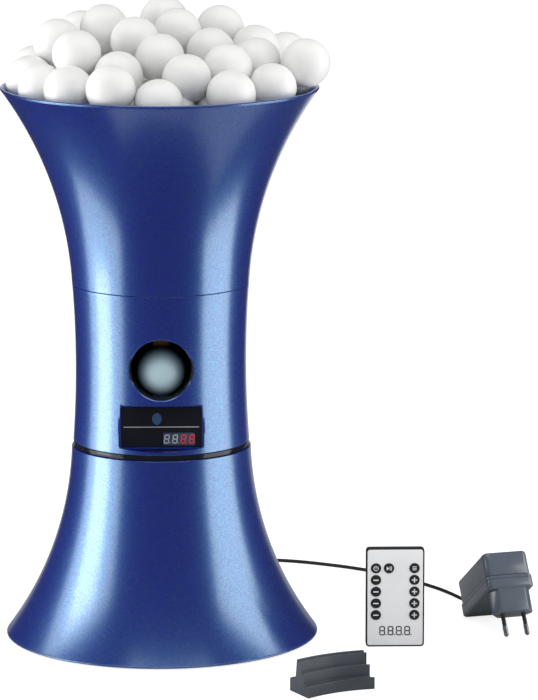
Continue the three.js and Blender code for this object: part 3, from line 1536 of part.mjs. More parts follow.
function addCord() {
  const points = coilPoints();
  const coil = measureCoil(points);
  const plugRun = makeCordRun(PLUG_RUN);
  const adapter = makeAdapter();
  const reliefEnd = ADAPTER_STEP_IN - 2 * SEAT_GAP - RELIEF_LENGTH;
  const lastSpots = [reliefEnd - CORD_DIAMETER, reliefEnd].map((place) =>
    adapter.localToWorld(new THREE.Vector3(0, place, RELIEF_DEPTH_PLACE)).toArray(),
  );
  const adapterRun = makeCordRun([...ADAPTER_RUN, ...lastSpots]);
  const whole = plugRun.length + coil.length + adapterRun.length;
  console.log("coil: least gap to itself " + coil.gap.toFixed(2) + " mm");
  console.log("cord: length " + whole.toFixed(0) + " mm, of which coil " + coil.length.toFixed(0));
  robot.add(piece("dc_plug", makePlug(), rubberBlack));
  robot.add(piece("cord_plug_run", plugRun.solid, rubberBlack));
  robot.add(piece("cord_coil", solidOf(ringTube(points, cordRadius, COIL_SIDES)), rubberBlack));
  robot.add(piece("coil_tie", makeTie(), mattBlack));
  robot.add(piece("cord_adapter_run", adapterRun.solid, rubberBlack));
  robot.add(adapter);
}

function addHead() {
  robot.add(piece("main_housing", makeHousing(), pearlBlue));
  robot.add(piece("head_floor", makeHeadFloor(), mattBlack));
  robot.add(piece("launch_frame", makeLaunchFrame(), mattBlack));
  robot.add(piece("control_panel", makePanel(), glossBlack));
  robot.add(
    piece("digit_display", displayHole(0, panelFront, displayBack), displayDark),
  );
  robot.add(piece("ir_window", windowHole(0, panelFront, displayBack), windowBlue));
  robot.add(piece("control_board", makeBoard(), boardGreen));
  robot.add(piece("upper_wheel_motor", makeWheelMotor(1), steel));
  robot.add(piece("lower_wheel_motor", makeWheelMotor(-1), steel));
  robot.add(piece("oscillation_motor", makeOscillationMotor(), steel));
  robot.add(piece("feed_motor", makeFeedMotor(), steel));
  robot.add(piece("feed_deck", makeFeedDeck(), mattBlack));
  robot.add(piece("feed_tube", makeFeedTube(), mattBlack));
  robot.add(piece("launcher_ball", makeLauncherBall(), ballWhite));
}

function addMovingParts() {
  robot.add(piece("upper_wheel_hub", makeHub(1), greyAbs));
  robot.add(piece("upper_wheel_tyre", makeTyre(1), tyreBrown));
  robot.add(piece("lower_wheel_hub", makeHub(-1), greyAbs));
  robot.add(piece("lower_wheel_tyre", makeTyre(-1), tyreBlue));
  robot.add(piece("feed_rotor", makeRotor(), greyAbs));
  robot.add(piece("oscillation_pinion", makePinion(), brass));
}

function addBowl() {
  robot.add(piece("ball_bowl", makeBowl(), pearlBlue));
  robot.add(piece("ball_heap", makeHeap(), ballWhite));
}

function addStand() {
  const stand = piece("tilt_stand", makeStand(), blackAbs);
  stand.position.set(STAND_X, STAND_Y, 0);
  stand.rotation.z = THREE.MathUtils.degToRad(STAND_YAW_DEG);
  robot.add(stand);
}

addBase();
addCord();
addHead();
addMovingParts();
addBowl();
robot.add(makeRemote());
addStand();

export default robot;
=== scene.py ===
"""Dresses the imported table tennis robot: its shells, balls, remote control, adapter and stand.

Everything is in metres in the frame's own axes: the floor is z = 0, the robot stands on the
origin and shoots towards -Y.
"""

import bmesh
import bpy
import numpy as np
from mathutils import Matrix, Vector


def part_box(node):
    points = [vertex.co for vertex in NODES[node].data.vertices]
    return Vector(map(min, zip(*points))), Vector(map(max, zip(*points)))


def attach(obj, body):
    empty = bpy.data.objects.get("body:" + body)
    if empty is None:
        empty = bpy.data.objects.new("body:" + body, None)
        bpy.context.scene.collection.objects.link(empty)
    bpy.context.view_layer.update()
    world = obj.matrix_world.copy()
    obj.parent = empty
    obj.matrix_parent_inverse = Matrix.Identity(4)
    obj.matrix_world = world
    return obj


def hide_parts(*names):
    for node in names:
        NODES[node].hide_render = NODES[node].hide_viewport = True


bl_info = {
    "name": "Table tennis robot",
    "version": (1, 0, 0),
    "blender": (4, 5, 0),
    "location": "3D View > Sidebar > Robot",
    "description": "Builds the surfaces and finishes of a table tennis robot round its frame",
    "category": "Add Mesh",
}

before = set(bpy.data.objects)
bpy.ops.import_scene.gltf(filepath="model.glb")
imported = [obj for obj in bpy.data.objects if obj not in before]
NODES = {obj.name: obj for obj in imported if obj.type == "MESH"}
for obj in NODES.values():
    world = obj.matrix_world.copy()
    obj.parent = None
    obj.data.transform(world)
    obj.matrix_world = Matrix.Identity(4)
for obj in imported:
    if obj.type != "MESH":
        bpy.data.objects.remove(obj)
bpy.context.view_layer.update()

MM = 0.001
SEAT_GAP = 0.3 * MM

# Camera, image and room
IMAGE_WIDTH = 538
IMAGE_FOCAL_PIXELS = 4338.6
SENSOR_WIDTH = 36.0
CAMERA_PLACE = (0.0, -3.53808, 0.90035)
CAMERA_TARGET = (0.089635, 0.0, 0.239587)
ROOM_DIFFUSE = 0.68
ROOM_FRONT = 0.04
ROOM_SECTOR = (0.97, 0.995)
FLOOR_TONE = 0.44
FLOOR_GLOW = 0.8
FLOOR_GLOW_FROM = (0.6, 2.0)
FLOOR_CORNERS = [(-0.21, -0.24, 0), (0.42, -0.24, 0), (0.95, 6.0, 0), (-0.80, 6.0, 0)]

# Each lamp's name, place, target, width and height, and power in watts
LAMPS = [
    ("left_softbox", (-1.20, -0.25, 0.20), (0, 0, 0.25), (1.25, 1.4), 10.0),
    ("left_strip", (-1.17, -0.22, 0.30), (0, 0, 0.28), (0.5, 0.8), 3.8),
    ("right_softbox", (1.19, -0.25, 0.23), (0, 0, 0.22), (1.0, 1.3), 9.0),
    ("top_softbox", (0.1, -0.5, 1.9), (0.05, 0, 0.3), (1.6, 1.2), 9.0),
]

# Shells of revolution
BASE_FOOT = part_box("base_skirt")[0].z
BASE_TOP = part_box("base_skirt")[1].z
BASE_NECK_RADIUS = 74.4 * MM
BASE_ARC_RADIUS = 281 * MM
DECK_BORE = 55 * MM
DECK_THICKNESS = 2.4 * MM
HEAD_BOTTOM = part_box("main_housing")[0].z
HEAD_TOP = 297 * MM
HEAD_WAIST_RADIUS = 70.7 * MM
HEAD_ARC_RADIUS = 870 * MM
SPIGOT_RISE = 6 * MM
SPIGOT_WALL = 2.4 * MM
LEDGE_DROP = 11.6 * MM
LEDGE_DEPTH = 3.6 * MM
LEDGE_THICKNESS = 2.2 * MM
BOWL_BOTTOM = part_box("ball_bowl")[0].z
BOWL_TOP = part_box("ball_bowl")[1].z
BOWL_NECK_RADIUS = 73.3 * MM
BOWL_ARC_RADIUS = 306 * MM
FLARE_RADIUS = 131.95 * MM
LIP_RADIUS = 127.3 * MM
SHELL_WALL = 2.5 * MM
RIM_BEAD = 1.0 * MM
RIM_GROOVE = (0.45 * MM, 0.3 * MM)
SHELL_EDGE = 0.45 * MM
BAND_BOTTOM = BASE_TOP + SEAT_GAP
BAND_TOP = HEAD_BOTTOM - SEAT_GAP
BAND_RADIUS = 72.9 * MM
BAND_EDGE = 0.5 * MM
ROUND_SIDES = 240
HOLE_SIDES = 128
SMOOTH_ANGLE = np.radians(32)

# Launching hole, and the panel with its pocket
LAUNCH_HEIGHT = 236 * MM
LAUNCH_RADIUS = 25.2 * MM
LAUNCH_CHAMFER = 0.7 * MM
PANEL_PLANE = 62.8 * MM
POCKET_WIDTH = 70.2 * MM
POCKET_BOTTOM = 170.1 * MM
POCKET_HEIGHT = 36 * MM
POCKET_CORNER = 2.4 * MM
POCKET_WALL = 3.2 * MM
POCKET_MARGIN = 3 * MM
PANEL_WIDTH = 65.6 * MM
PANEL_HEIGHT = 33.2 * MM
PANEL_MIDDLE = POCKET_BOTTOM + 0.9 * MM + PANEL_HEIGHT / 2
PANEL_THICKNESS = 1.6 * MM
PANEL_LINE_HEIGHT = 187.6 * MM
OUTSIDE = 95 * MM
DISPLAY_PLACE = (14.5 * MM, 0, 177.4 * MM)
DISPLAY_WIDTH = 26.2 * MM
DISPLAY_HEIGHT = 10.8 * MM
WINDOW_GAP = 0.3 * MM
RECEIVER_PLACE = (-3.6 * MM, 194.3 * MM)
RECEIVER_HALF = (4.05 * MM, 5.1 * MM)

# Balls and wheels
BALL_RADIUS = 20 * MM
UPPER_WHEEL_HEIGHT = 265.701 * MM
LOWER_WHEEL_HEIGHT = 195.701 * MM
WHEEL_SETBACK = 35 * MM

# Cord, with its power plug and inlet
CORD_RADIUS = 1.5 * MM
CORD_STEP = 1.5 * MM
INLET_HEIGHT = 15 * MM
INLET_HOLE_RADIUS = 7.3 * MM
PLUG_FACE = 9 * MM
PLUG_GRIP_LENGTH = 14 * MM
PLUG_RUN_MM = [
    (0, 163.4, 15),
    (0, 168, 14.9),
    (0, 176, 12.6),
    (0, 185, 8.2),
    (0, 194, 4.4),
    (0, 202, 2.9),
    (0, 209.7, 2.7),
]
ADAPTER_RUN_MM = [
    (27.8, 237.3, 6.2),
    (34, 237.5, 6),
    (43, 238.6, 5),
    (53, 240.9, 3.2),
    (65, 244, 1.8),
    (78, 246.9, 1.6),
    (91, 248.4, 1.6),
    (104, 247.7, 1.6),
    (125, 241.2, 1.6),
    (147, 230.4, 1.6),
    (167, 218.6, 1.6),
    (186, 204.5, 1.6),
    (204, 188, 1.6),
    (219, 170, 1.6),
    (231, 152.5, 1.6),
    (242, 135.5, 1.6),
    (251.5, 117, 1.6),
    (258.5, 100, 1.8),
    (262.8, 86.5, 2.9),
]
INSIDE_ADAPTER_MM = [(0, 0, 0), (0, 30, -0.3), (0, 48, -3.3), (0, 58, -11.8), (0, 62, -21.8)]
COIL_TURNS = 7.25
COIL_MEAN_RADIUS = 18 * MM
COIL_PITCH = 3.5 * MM
COIL_CENTRE_Y = 213 * MM
COIL_FLOOR = 2.6 * MM
COIL_STEPS = 290
TIE_THICKNESS = 0.8 * MM
TIE_HALF_WIDTH = 3 * MM
TIE_PLAY = 0.6 * MM
TIE_ANGLE = np.radians(-45)

# Adapter
ADAPTER_PLACE = (274.8 * MM, 46.8 * MM)
ADAPTER_YAW = np.radians(16.6)
ADAPTER_WIDTH = 41 * MM
ADAPTER_LENGTH = 74.5 * MM
ADAPTER_FRONT = 11.2 * MM
ADAPTER_BACK = 21 * MM
ADAPTER_STEP = 0.8 * MM
ADAPTER_EDGE = 1.6 * MM
ADAPTER_FRONT_ROUND = 2.0 * MM
ADAPTER_BACK_ROUND = 3.2 * MM
PLUG_INSET = 10 * MM
PLUG_HEIGHT = 20.6 * MM
PLUG_EDGE = 0.9 * MM
PLUG_ROUND = 1.4 * MM
PIN_RADIUS = 2 * MM
PIN_LENGTH = 19 * MM
PIN_SPACING = 18.6 * MM
SLEEVE_LENGTH = 10 * MM
RELIEF_LENGTH = 20 * MM
RELIEF_DEPTH = 21.8 * MM

# Remote control
REMOTE_PLACE = (192.4 * MM, -53.4 * MM)
REMOTE_WIDTH = 48.4 * MM
REMOTE_HEIGHT = 83.6 * MM
REMOTE_HALF = 3.6 * MM
REMOTE_CORNER = 3 * MM
REMOTE_RIM = 1.0 * MM
FACE_THICKNESS = 1.2 * MM
BUTTON_RADIUS = 4.1 * MM
BUTTON_HOLE_RADIUS = 4.3 * MM
BUTTON_EDGE = 0.35 * MM
BUTTON_PROUD = 0.6 * MM
BUTTON_TOP_ROW = 66.6 * MM
BUTTON_ROW_PITCH = 9.9 * MM
BUTTON_SIDE_X = 15.9 * MM
BUTTON_PLAY_X = -5.2 * MM
CELL_POCKET_RADIUS = 10.3 * MM

# Tilt stand
STAND_PLACE = (142.3 * MM, -205.7 * MM)
STAND_YAW = np.radians(27.9)
STAND_LENGTH = 60.6 * MM
STAND_BOW = 100 * MM
STAND_EDGE = 0.9 * MM
STAND_STEPS_MM = [(0, 0), (7.3, 8.7), (12.4, 17.4)]
STAND_STEP_MM = [(0, 0), (0, 9.8), (1.6, 9.8), (2.15, 8.7)]
STAND_BACK_MM = [(16.6, 26.1), (16.6, 28.1), (18.3, 28.1), (20.4, 11.7), (29, 10.6), (29, 0)]


class RobotSizes(bpy.types.PropertyGroup):
    """Sizes of the robot's own surfaces."""

    rim_bead: bpy.props.FloatProperty(
        name="Rim bead",
        description="Radius of the rolled edge at the bowl's rim and at the base's foot",
        default=RIM_BEAD,
        unit="LENGTH",
    )
    ball_radius: bpy.props.FloatProperty(
        name="Ball radius", description="Radius of a table tennis ball", default=BALL_RADIUS, unit="LENGTH"
    )
    cord_radius: bpy.props.FloatProperty(
        name="Cord radius", description="Radius of the adapter's cord", default=CORD_RADIUS, unit="LENGTH"
    )
    edge: bpy.props.FloatProperty(
        name="Edge rounding", description="Rounding of the moulded edges", default=0.6 * MM, unit="LENGTH"
    )


class RobotColours(bpy.types.PropertyGroup):
    """Colours of the robot's finishes."""

    flakes: bpy.props.FloatVectorProperty(
        name="Pearl flakes",
        description="Metal flakes in the paint of the base, head and bowl",
        subtype="COLOR",
        default=(0.08, 0.30, 0.50),
    )
    base_coat: bpy.props.FloatVectorProperty(
        name="Base coat",
        description="Deep blue pigment between the pearl flakes",
        subtype="COLOR",
        default=(0.005, 0.009, 0.33),
    )
    sheen: bpy.props.FloatVectorProperty(
        name="Pearl sheen",
        description="Tint of the light that the pearl paint throws back",
        subtype="COLOR",
        default=(0.62, 0.86, 1.0),
    )
    plastic: bpy.props.FloatVectorProperty(
        name="Black plastic",
        description="Grained plastic of the tilt stand",
        subtype="COLOR",
        default=(0.060, 0.069, 0.086),
    )
    ball: bpy.props.FloatVectorProperty(
        name="Ball",
        description="White plastic of the balls",
        subtype="COLOR",
        default=(0.84, 0.84, 0.83),
    )
    face: bpy.props.FloatVectorProperty(
        name="Remote face",
        description="Pale printed face of the remote control",
        subtype="COLOR",
        default=(0.90, 0.91, 0.92),
    )


# Surfaces


def mm(lengths):
    """An array of lengths given in millimetres, in metres."""
    return np.array(lengths, float) * MM


def merged_mesh(name, corners, faces):
    """A mesh object whose doubled corners are merged and whose faces all look outwards."""
    mesh = bpy.data.meshes.new(name)
    mesh.from_pydata(corners.tolist(), [], faces)
    work = bmesh.new()
    work.from_mesh(mesh)
    bmesh.ops.remove_doubles(work, verts=work.verts, dist=1e-7)
    bmesh.ops.dissolve_degenerate(work, edges=work.edges, dist=1e-8)
    bmesh.ops.recalc_face_normals(work, faces=work.faces)
    work.to_mesh(mesh)
    work.free()
    smooth(mesh)
    piece = bpy.data.objects.new(name, mesh)
    bpy.context.scene.collection.objects.link(piece)
    return piece


def smooth(mesh):
    """Shades a mesh smooth, except where two faces meet at a sharp angle."""
    mesh.shade_smooth()
    mesh.set_sharp_from_angle(angle=SMOOTH_ANGLE)


def grid_faces(rows, columns, close_rows=False):
    """Corner numbers of a grid's quads: each row is a ring, and the last row may meet the first."""
    i, j = np.meshgrid(np.arange(rows if close_rows else rows - 1), np.arange(columns), indexing="ij")
    i2, j2 = (i + 1) % rows, (j + 1) % columns
    quads = np.stack([i * columns + j, i * columns + j2, i2 * columns + j2, i2 * columns + j], -1)
    return quads.reshape(-1, 4)


def surface(name, points, close_rows=False, caps=False):
    """A mesh on a grid of points; caps close its first and last rows with one face each."""
    rows, columns = points.shape[:2]
    faces = grid_faces(rows, columns, close_rows).tolist()
    if caps:
        faces += [list(range(columns)), list(range((rows - 1) * columns, rows * columns))]
    return merged_mesh(name, points.reshape(-1, 3), faces)


def full_turn(sides):
    """Angles round a circle, in equal steps."""
    return np.linspace(0, 2 * np.pi, sides, endpoint=False)


def spun(profile, sides, axis="z", centre=(0, 0, 0)):
    """A profile of (radius, place along an axis) turned about that axis through a centre.

    The other two coordinates, in their order, are r cos a and r sin a.
    """
    turn = full_turn(sides)
    r, along = profile[:, :1], profile[:, 1:]
    parts = [r * np.cos(turn), r * np.sin(turn)]
    parts.insert("xyz".index(axis), along + 0 * turn)
    return np.stack(parts, -1) + np.array(centre)


def revolved(name, profile):
    """A shell of revolution about Z from a closed profile of (radius, height)."""
    return surface(name, spun(profile, ROUND_SIDES), close_rows=True)


def layers(pairs):
    """A row of points for each pair of an outline in XY and a level along Z."""
    return np.stack([np.column_stack([line, np.full(len(line), level)]) for line, level in pairs])


def rounded_outline(width, height, corner, steps=6):
    """A rectangle with its corners rounded: each corner's centre plus a quarter circle."""
    turn = np.linspace(0, np.pi / 2, steps + 1)
    quarters = []
    for k, (sx, sy) in enumerate([(1, 1), (-1, 1), (-1, -1), (1, -1)]):
        a = turn + k * np.pi / 2
        x = sx * (width / 2 - corner) + corner * np.cos(a)
        y = sy * (height / 2 - corner) + corner * np.sin(a)
        quarters.append(np.stack([x, y], -1))
    return np.concatenate(quarters)


def slab(name, width, height, corner, steps, place):
    """A stack of rounded rectangles: each step gives an inset and a level along Z."""
    least_corner = 0.05 * MM
    pairs = [
        (rounded_outline(width - 2 * inset, height - 2 * inset, max(corner - inset, least_corner)), level)
        for inset, level in steps
    ]
    return surface(name, place(layers(pairs)), caps=True)


def edge_steps(low, high, edge, count):
    """Insets and levels of a stack whose two ends are rounded by quarter circles."""
    turn = np.linspace(0, np.pi / 2, count + 1)
    inset = edge * (1 - np.sin(turn))
    rise = edge * (1 - np.cos(turn))
    return np.concatenate([np.column_stack([inset, low + rise]), np.column_stack([inset, high - rise])[::-1]])


def standing(x, y, z):
    """Places a piece drawn in XY and raised along +Z so that it faces -Y, centred on x and z."""

    def place(points):
        return np.stack([points[..., 0] + x, y - points[..., 2], points[..., 1] + z], -1)

    return place


def cutter(radius, ends, sides, centre):
    """A cylinder along Y between two ends, as a cutting tool."""
    return surface("tool", spun(np.array([(radius, end) for end in ends]), sides, "y", centre), caps=True)


def carve(piece, *tools, operation="DIFFERENCE"):
    """Cuts tools from a piece, or joins them to it, and leaves one plain mesh."""
    for tool in tools:
        change = piece.modifiers.new("carve", "BOOLEAN")
        change.operation = operation
        change.solver = "EXACT"
        change.object = tool
    graph = bpy.context.evaluated_depsgraph_get()
    mesh = bpy.data.meshes.new_from_object(piece.evaluated_get(graph))
    piece.modifiers.clear()
    old = piece.data
    piece.data = mesh
    bpy.data.meshes.remove(old)
    for tool in tools:
        bpy.data.objects.remove(tool)
    smooth(mesh)


def arc(r, z, radius, start, end, count=6):
    """Profile points on a circle round (r, z), from one angle to another, in degrees."""
    a = np.radians(np.linspace(start, end, count))
    return np.column_stack([r + radius * np.cos(a), z + radius * np.sin(a)])


def rounded_corners(corners, reach, steps):
    """Rounds each corner of an outline by the parabola c + d ((1 - t)^2 u + t^2 v).

    u and v are the unit steps from the corner c to its neighbours, and d is the reach, or
    0.45 of the way to the nearer neighbour where that is less.
    """
    before = np.roll(corners, 1, axis=0) - corners
    after = np.roll(corners, -1, axis=0) - corners
    spans = [np.linalg.norm(way, axis=1, keepdims=True) for way in (before, after)]
    cut = np.minimum(0.45 * np.minimum(*spans), reach)[..., None]
    t = np.linspace(0, 1, steps)[None, :, None]
    u, v = (before / spans[0])[:, None], (after / spans[1])[:, None]
    return (corners[:, None] + cut * ((1 - t) ** 2 * u + t**2 * v)).reshape(-1, 2)


def flare_through(narrow, wide, radius):
    """Centre and radius of the arc through two profile points, with its centre outside them."""
    narrow, wide = np.array(narrow), np.array(wide)
    run = wide - narrow
    chord = np.hypot(*run)
    reach = np.sign(run[1]) * np.sqrt(radius**2 - chord**2 / 4) / chord
    return (narrow + wide) / 2 + reach * np.array([run[1], -run[0]]), radius


def flare_at(curve, z, inset=0.0):
    """A flare's radius at a height: r = centre r - sqrt((radius + inset)^2 - (z - centre z)^2)."""
    centre, radius = curve
    return centre[0] - np.sqrt((radius + inset) ** 2 - (z - centre[1]) ** 2)


def flare(curve, low, high, inset, count):
    """Profile points of a flare between two heights."""
    z = np.linspace(low, high, count)
    return np.column_stack([flare_at(curve, z, inset), z])


BASE_FLARE = flare_through((BASE_NECK_RADIUS, BASE_TOP), (FLARE_RADIUS, 0), BASE_ARC_RADIUS)
BOWL_FLARE = flare_through((BOWL_NECK_RADIUS, BOWL_BOTTOM), (FLARE_RADIUS, BOWL_TOP), BOWL_ARC_RADIUS)
HEAD_FLARE = ((HEAD_WAIST_RADIUS + HEAD_ARC_RADIUS, (HEAD_BOTTOM + HEAD_TOP) / 2), HEAD_ARC_RADIUS)


def rim_bead(curve, edge, way, bead):
    """A rounded rim in line with a flare, from the shallow groove under it to the edge.

    Its centre lies a bead's radius inside the edge, at the flare's radius plus the bead's
    from the flare's centre. way is 1 for an upper edge and -1 for a foot.
    """
    z = edge - way * bead
    r = flare_at(curve, z, bead)
    centre = curve[0]
    tangent = np.degrees(np.arctan2(centre[1] - z, centre[0] - r))
    rolled = arc(r, z, bead, tangent, 90 * way, 12)
    deep, high = RIM_GROOVE
    groove = rolled[0] - [[deep, 2 * way * high], [deep, way * high]]
    return np.concatenate([groove, rolled])


def blend(a, b, t, start, end):
    """A straight blend from a, where t is at its start, to b, where it is at its end."""
    return (end - t) / (end - start) * a + (t - start) / (end - start) * b


def smooth_path(points, step):
    """A smooth curve through the points, sampled about every step.

    Its knots lie the square root of each distance apart, and each span blends its four
    nearest points in neighbouring pairs, three times over.
    """
    ends = np.vstack([2 * points[0] - points[1], points, 2 * points[-1] - points[-2]])
    spans = []
    for p0, p1, p2, p3 in zip(ends, ends[1:], ends[2:], ends[3:]):
        gaps = [np.linalg.norm(b - a) ** 0.5 for a, b in ((p0, p1), (p1, p2), (p2, p3))]
        t0, t1, t2, t3 = np.cumsum([0, *gaps])
        count = max(int(np.linalg.norm(p2 - p1) / step), 2)
        t = np.linspace(t1, t2, count, endpoint=False)[:, None]
        a1, a2, a3 = blend(p0, p1, t, t0, t1), blend(p1, p2, t, t1, t2), blend(p2, p3, t, t2, t3)
        spans.append(blend(blend(a1, a2, t, t0, t2), blend(a2, a3, t, t1, t3), t, t1, t2))
    return np.vstack(spans + [points[-1:]])


# Finishes


class Tree:
    """The node tree of a material or a world, and short ways to add to it."""

    def __init__(self, owner):
        owner.use_nodes = True
        self.nodes = owner.node_tree.nodes
        self.links = owner.node_tree.links

    def node(self, kind, **values):
        """A new node; its values are set by socket name, or else as a property of the node."""
        made = self.nodes.new("ShaderNode" + kind)
        for key, value in values.items():
            socket = key.replace("_", " ")
            if socket in made.inputs:
                made.inputs[socket].default_value = value
            else:
                setattr(made, key, value)
        return made

    def spread(self, source, low, high, start=0.3, end=0.7, easing="LINEAR"):
        """A number between two ends, following the source over a part of its range."""
        made = self.node("MapRange", From_Min=start, From_Max=end, To_Min=low, To_Max=high)
        made.interpolation_type = easing
        self.links.new(source, made.inputs["Value"])
        return made.outputs["Result"]

    def depth_along(self, coordinates):
        """The Y of one of the Texture Coordinate node's outputs."""
        split = self.node("SeparateXYZ")
        self.links.new(self.node("TexCoord").outputs[coordinates], split.inputs[0])
        return split.outputs["Y"]

    def white_for(self, mirrored, others, white):
        """White for camera and transmission rays, mirrored for glossy ones, dim for all others."""
        path = self.node("LightPath")
        seen = self.node("Math", operation="MAXIMUM")
        self.links.new(path.outputs["Is Camera Ray"], seen.inputs[0])
        self.links.new(path.outputs["Is Transmission Ray"], seen.inputs[1])
        glossy = self.node("Mix", data_type="FLOAT", A=others)
        self.links.new(path.outputs["Is Glossy Ray"], glossy.inputs["Factor"])
        self.links.new(mirrored, glossy.inputs["B"])
        whole = self.node("Mix", data_type="FLOAT", B=white)
        self.links.new(seen.outputs[0], whole.inputs["Factor"])
        self.links.new(glossy.outputs["Result"], whole.inputs["A"])
        return whole.outputs["Result"]


class Finish(Tree):
    """A material with one Principled shader, patterned on the piece's Object coordinates."""

    def __init__(self, name, colour, roughness, **sockets):
        self.material = bpy.data.materials.new(name)
        super().__init__(self.material)
        self.shader = self.nodes["Principled BSDF"]
        self.colour = colour
        self.set(Base_Color=(*colour, 1), Roughness=roughness, **sockets)
        self.place = self.node("TexCoord").outputs["Object"]
        self.relief = None

    def set(self, **sockets):
        """Sets the shader's own sockets."""
        for socket, value in sockets.items():
            self.shader.inputs[socket.replace("_", " ")].default_value = value

    def drive(self, source, socket):
        """Lets a source drive one of the shader's sockets."""
        self.links.new(source, self.shader.inputs[socket])

    def pattern(self, kind, place=None, **values):
        """A texture node on Object coordinates, or on another place."""
        made = self.node("Tex" + kind, **values)
        self.links.new(self.place if place is None else place, made.inputs["Vector"])
        return made

    def noise(self, scale, detail=2.0, place=None):
        return self.pattern("Noise", place, Scale=scale, Detail=detail).outputs["Fac"]

    def ramp(self, source, low, high, start=0.35, end=0.65):
        """Colours between two ends, spread over a part of the source's range."""
        made = self.node("ValToRGB")
        for element, colour, position in zip(made.color_ramp.elements, (low, high), (start, end)):
            element.position = position
            element.color = (*colour, 1)
        self.links.new(source, made.inputs["Fac"])
        return made.outputs["Color"]

    def mottle(self, source, amount):
        """Base colour that varies by an amount either side of its own."""
        low = [channel * (1 - amount) for channel in self.colour]
        high = [min(channel * (1 + amount), 1) for channel in self.colour]
        self.drive(self.ramp(source, low, high), "Base Color")

    def rough(self, source, low, high):
        self.drive(self.spread(source, low, high), "Roughness")

    def bump(self, source, strength, distance):
        """Relief from the source, on top of any relief that is there already."""
        made = self.node("Bump", Strength=strength, Distance=distance)
        self.links.new(source, made.inputs["Height"])
        if self.relief is not None:
            self.links.new(self.relief, made.inputs["Normal"])
        self.relief = made.outputs["Normal"]
        self.drive(self.relief, "Normal")

    def scuffs(self, low, high):
        """Fine scuffs from play, in the gloss and in the relief."""
        marks = self.noise(700.0, 4.0)
        self.rough(marks, low, high)
        self.bump(marks, 0.05, 0.03 * MM)


def pearl_paint(name, colours):
    """Smooth cyan pearl flakes strewn in a deep blue base coat, under a clear coat."""
    paint = Finish(name, colours.flakes, 0.30, Specular_IOR_Level=0.2, Specular_Tint=(*colours.sheen, 1))
    paint.set(Coat_Weight=1.0, Coat_Roughness=0.2, Coat_IOR=2.0)
    flakes = paint.pattern("Voronoi", Scale=5200.0)
    channels = paint.node("SeparateColor")
    paint.links.new(flakes.outputs["Color"], channels.inputs["Color"])
    tone = channels.outputs["Red"]
    paint.drive(paint.ramp(tone, colours.base_coat, colours.flakes, 0.50, 0.54), "Base Color")
    paint.drive(paint.spread(tone, 0.0, 1.0, 0.46, 0.5), "Metallic")
    paint.rough(tone, 0.44, 0.29)
    paint.bump(tone, 0.12, 0.02 * MM)
    paint.bump(paint.noise(1400.0, 1.0), 0.10, 0.03 * MM)
    paint.bump(paint.noise(60.0, 3.0), 0.02, 0.2 * MM)
    return paint.material


def moulded_plastic(name, colour, roughness, grain=900.0, relief=0.18, variation=0.12, gloss=0.5):
    """Moulded plastic with a spark-eroded grain, faint clouding and uneven gloss."""
    plastic = Finish(name, colour, roughness, Specular_IOR_Level=gloss)
    fine = plastic.noise(grain, 3.0)
    plastic.mottle(plastic.noise(35.0, 2.0), variation)
    plastic.rough(fine, roughness - 0.07, roughness + 0.07)
    plastic.bump(fine, relief, 0.06 * MM)
    return plastic.material


def ball_plastic(name, colours):
    """White ball plastic: satin, a little translucent, with fine scuffs from play."""
    plastic = Finish(name, colours.ball, 0.38, Subsurface_Weight=0.08, Subsurface_Scale=0.004)
    plastic.set(Subsurface_Radius=(1.0, 0.9, 0.8))
    plastic.mottle(plastic.noise(45.0, 3.0), 0.03)
    plastic.scuffs(0.32, 0.46)
    return plastic.material


def painted_shade_ball(name, _):
    """The ball in the launching hole, with painted shade: white ball plastic painted blue-grey, with a pale
    front and painted deeper blue towards the wheels behind it, where the hole's shade falls.
    """
    # Painted shade: a white ball darkened and tinted blue for the shade inside the hole.
    plastic = Finish(name, (0.30, 0.44, 0.50), 0.38)
    low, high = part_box("launcher_ball")
    # The painted shade deepens from the ball's front back to its middle, along Object Y.
    depth = plastic.spread(plastic.depth_along("Object"), 0.0, 1.0, low.y, (low.y + high.y) / 2)
    tone = plastic.ramp(depth, (0.40, 0.54, 0.60), (0.05, 0.11, 0.19), 0.05, 0.75)
    plastic.drive(tone, "Base Color")
    plastic.scuffs(0.36, 0.5)
    return plastic.material


def turned_metal(name, colour, roughness):
    """Plated metal with fine brushing along its length and slightly uneven gloss."""
    metal = Finish(name, colour, roughness, Metallic=1.0)
    stretch = metal.node("Mapping", Scale=(1.0, 1.0, 0.08))
    metal.links.new(metal.place, stretch.inputs["Vector"])
    brush = metal.noise(2200.0, 2.0, stretch.outputs["Vector"])
    metal.mottle(metal.noise(80.0), 0.08)
    metal.rough(brush, roughness - 0.08, roughness + 0.08)
    metal.bump(brush, 0.06, 0.02 * MM)
    return metal.material


def circuit_board(name, _):
    """Green solder mask with paler copper tracks under it."""
    board = Finish(name, (0.012, 0.11, 0.035), 0.35)
    mask = {"Color1": (0.010, 0.10, 0.03, 1), "Color2": (0.014, 0.12, 0.04, 1)}
    tracks = board.pattern("Brick", Scale=220.0, Mortar=(0.03, 0.22, 0.07, 1), **mask)
    board.drive(tracks.outputs["Color"], "Base Color")
    board.bump(tracks.outputs["Fac"], 0.2, 0.05 * MM)
    return board.material


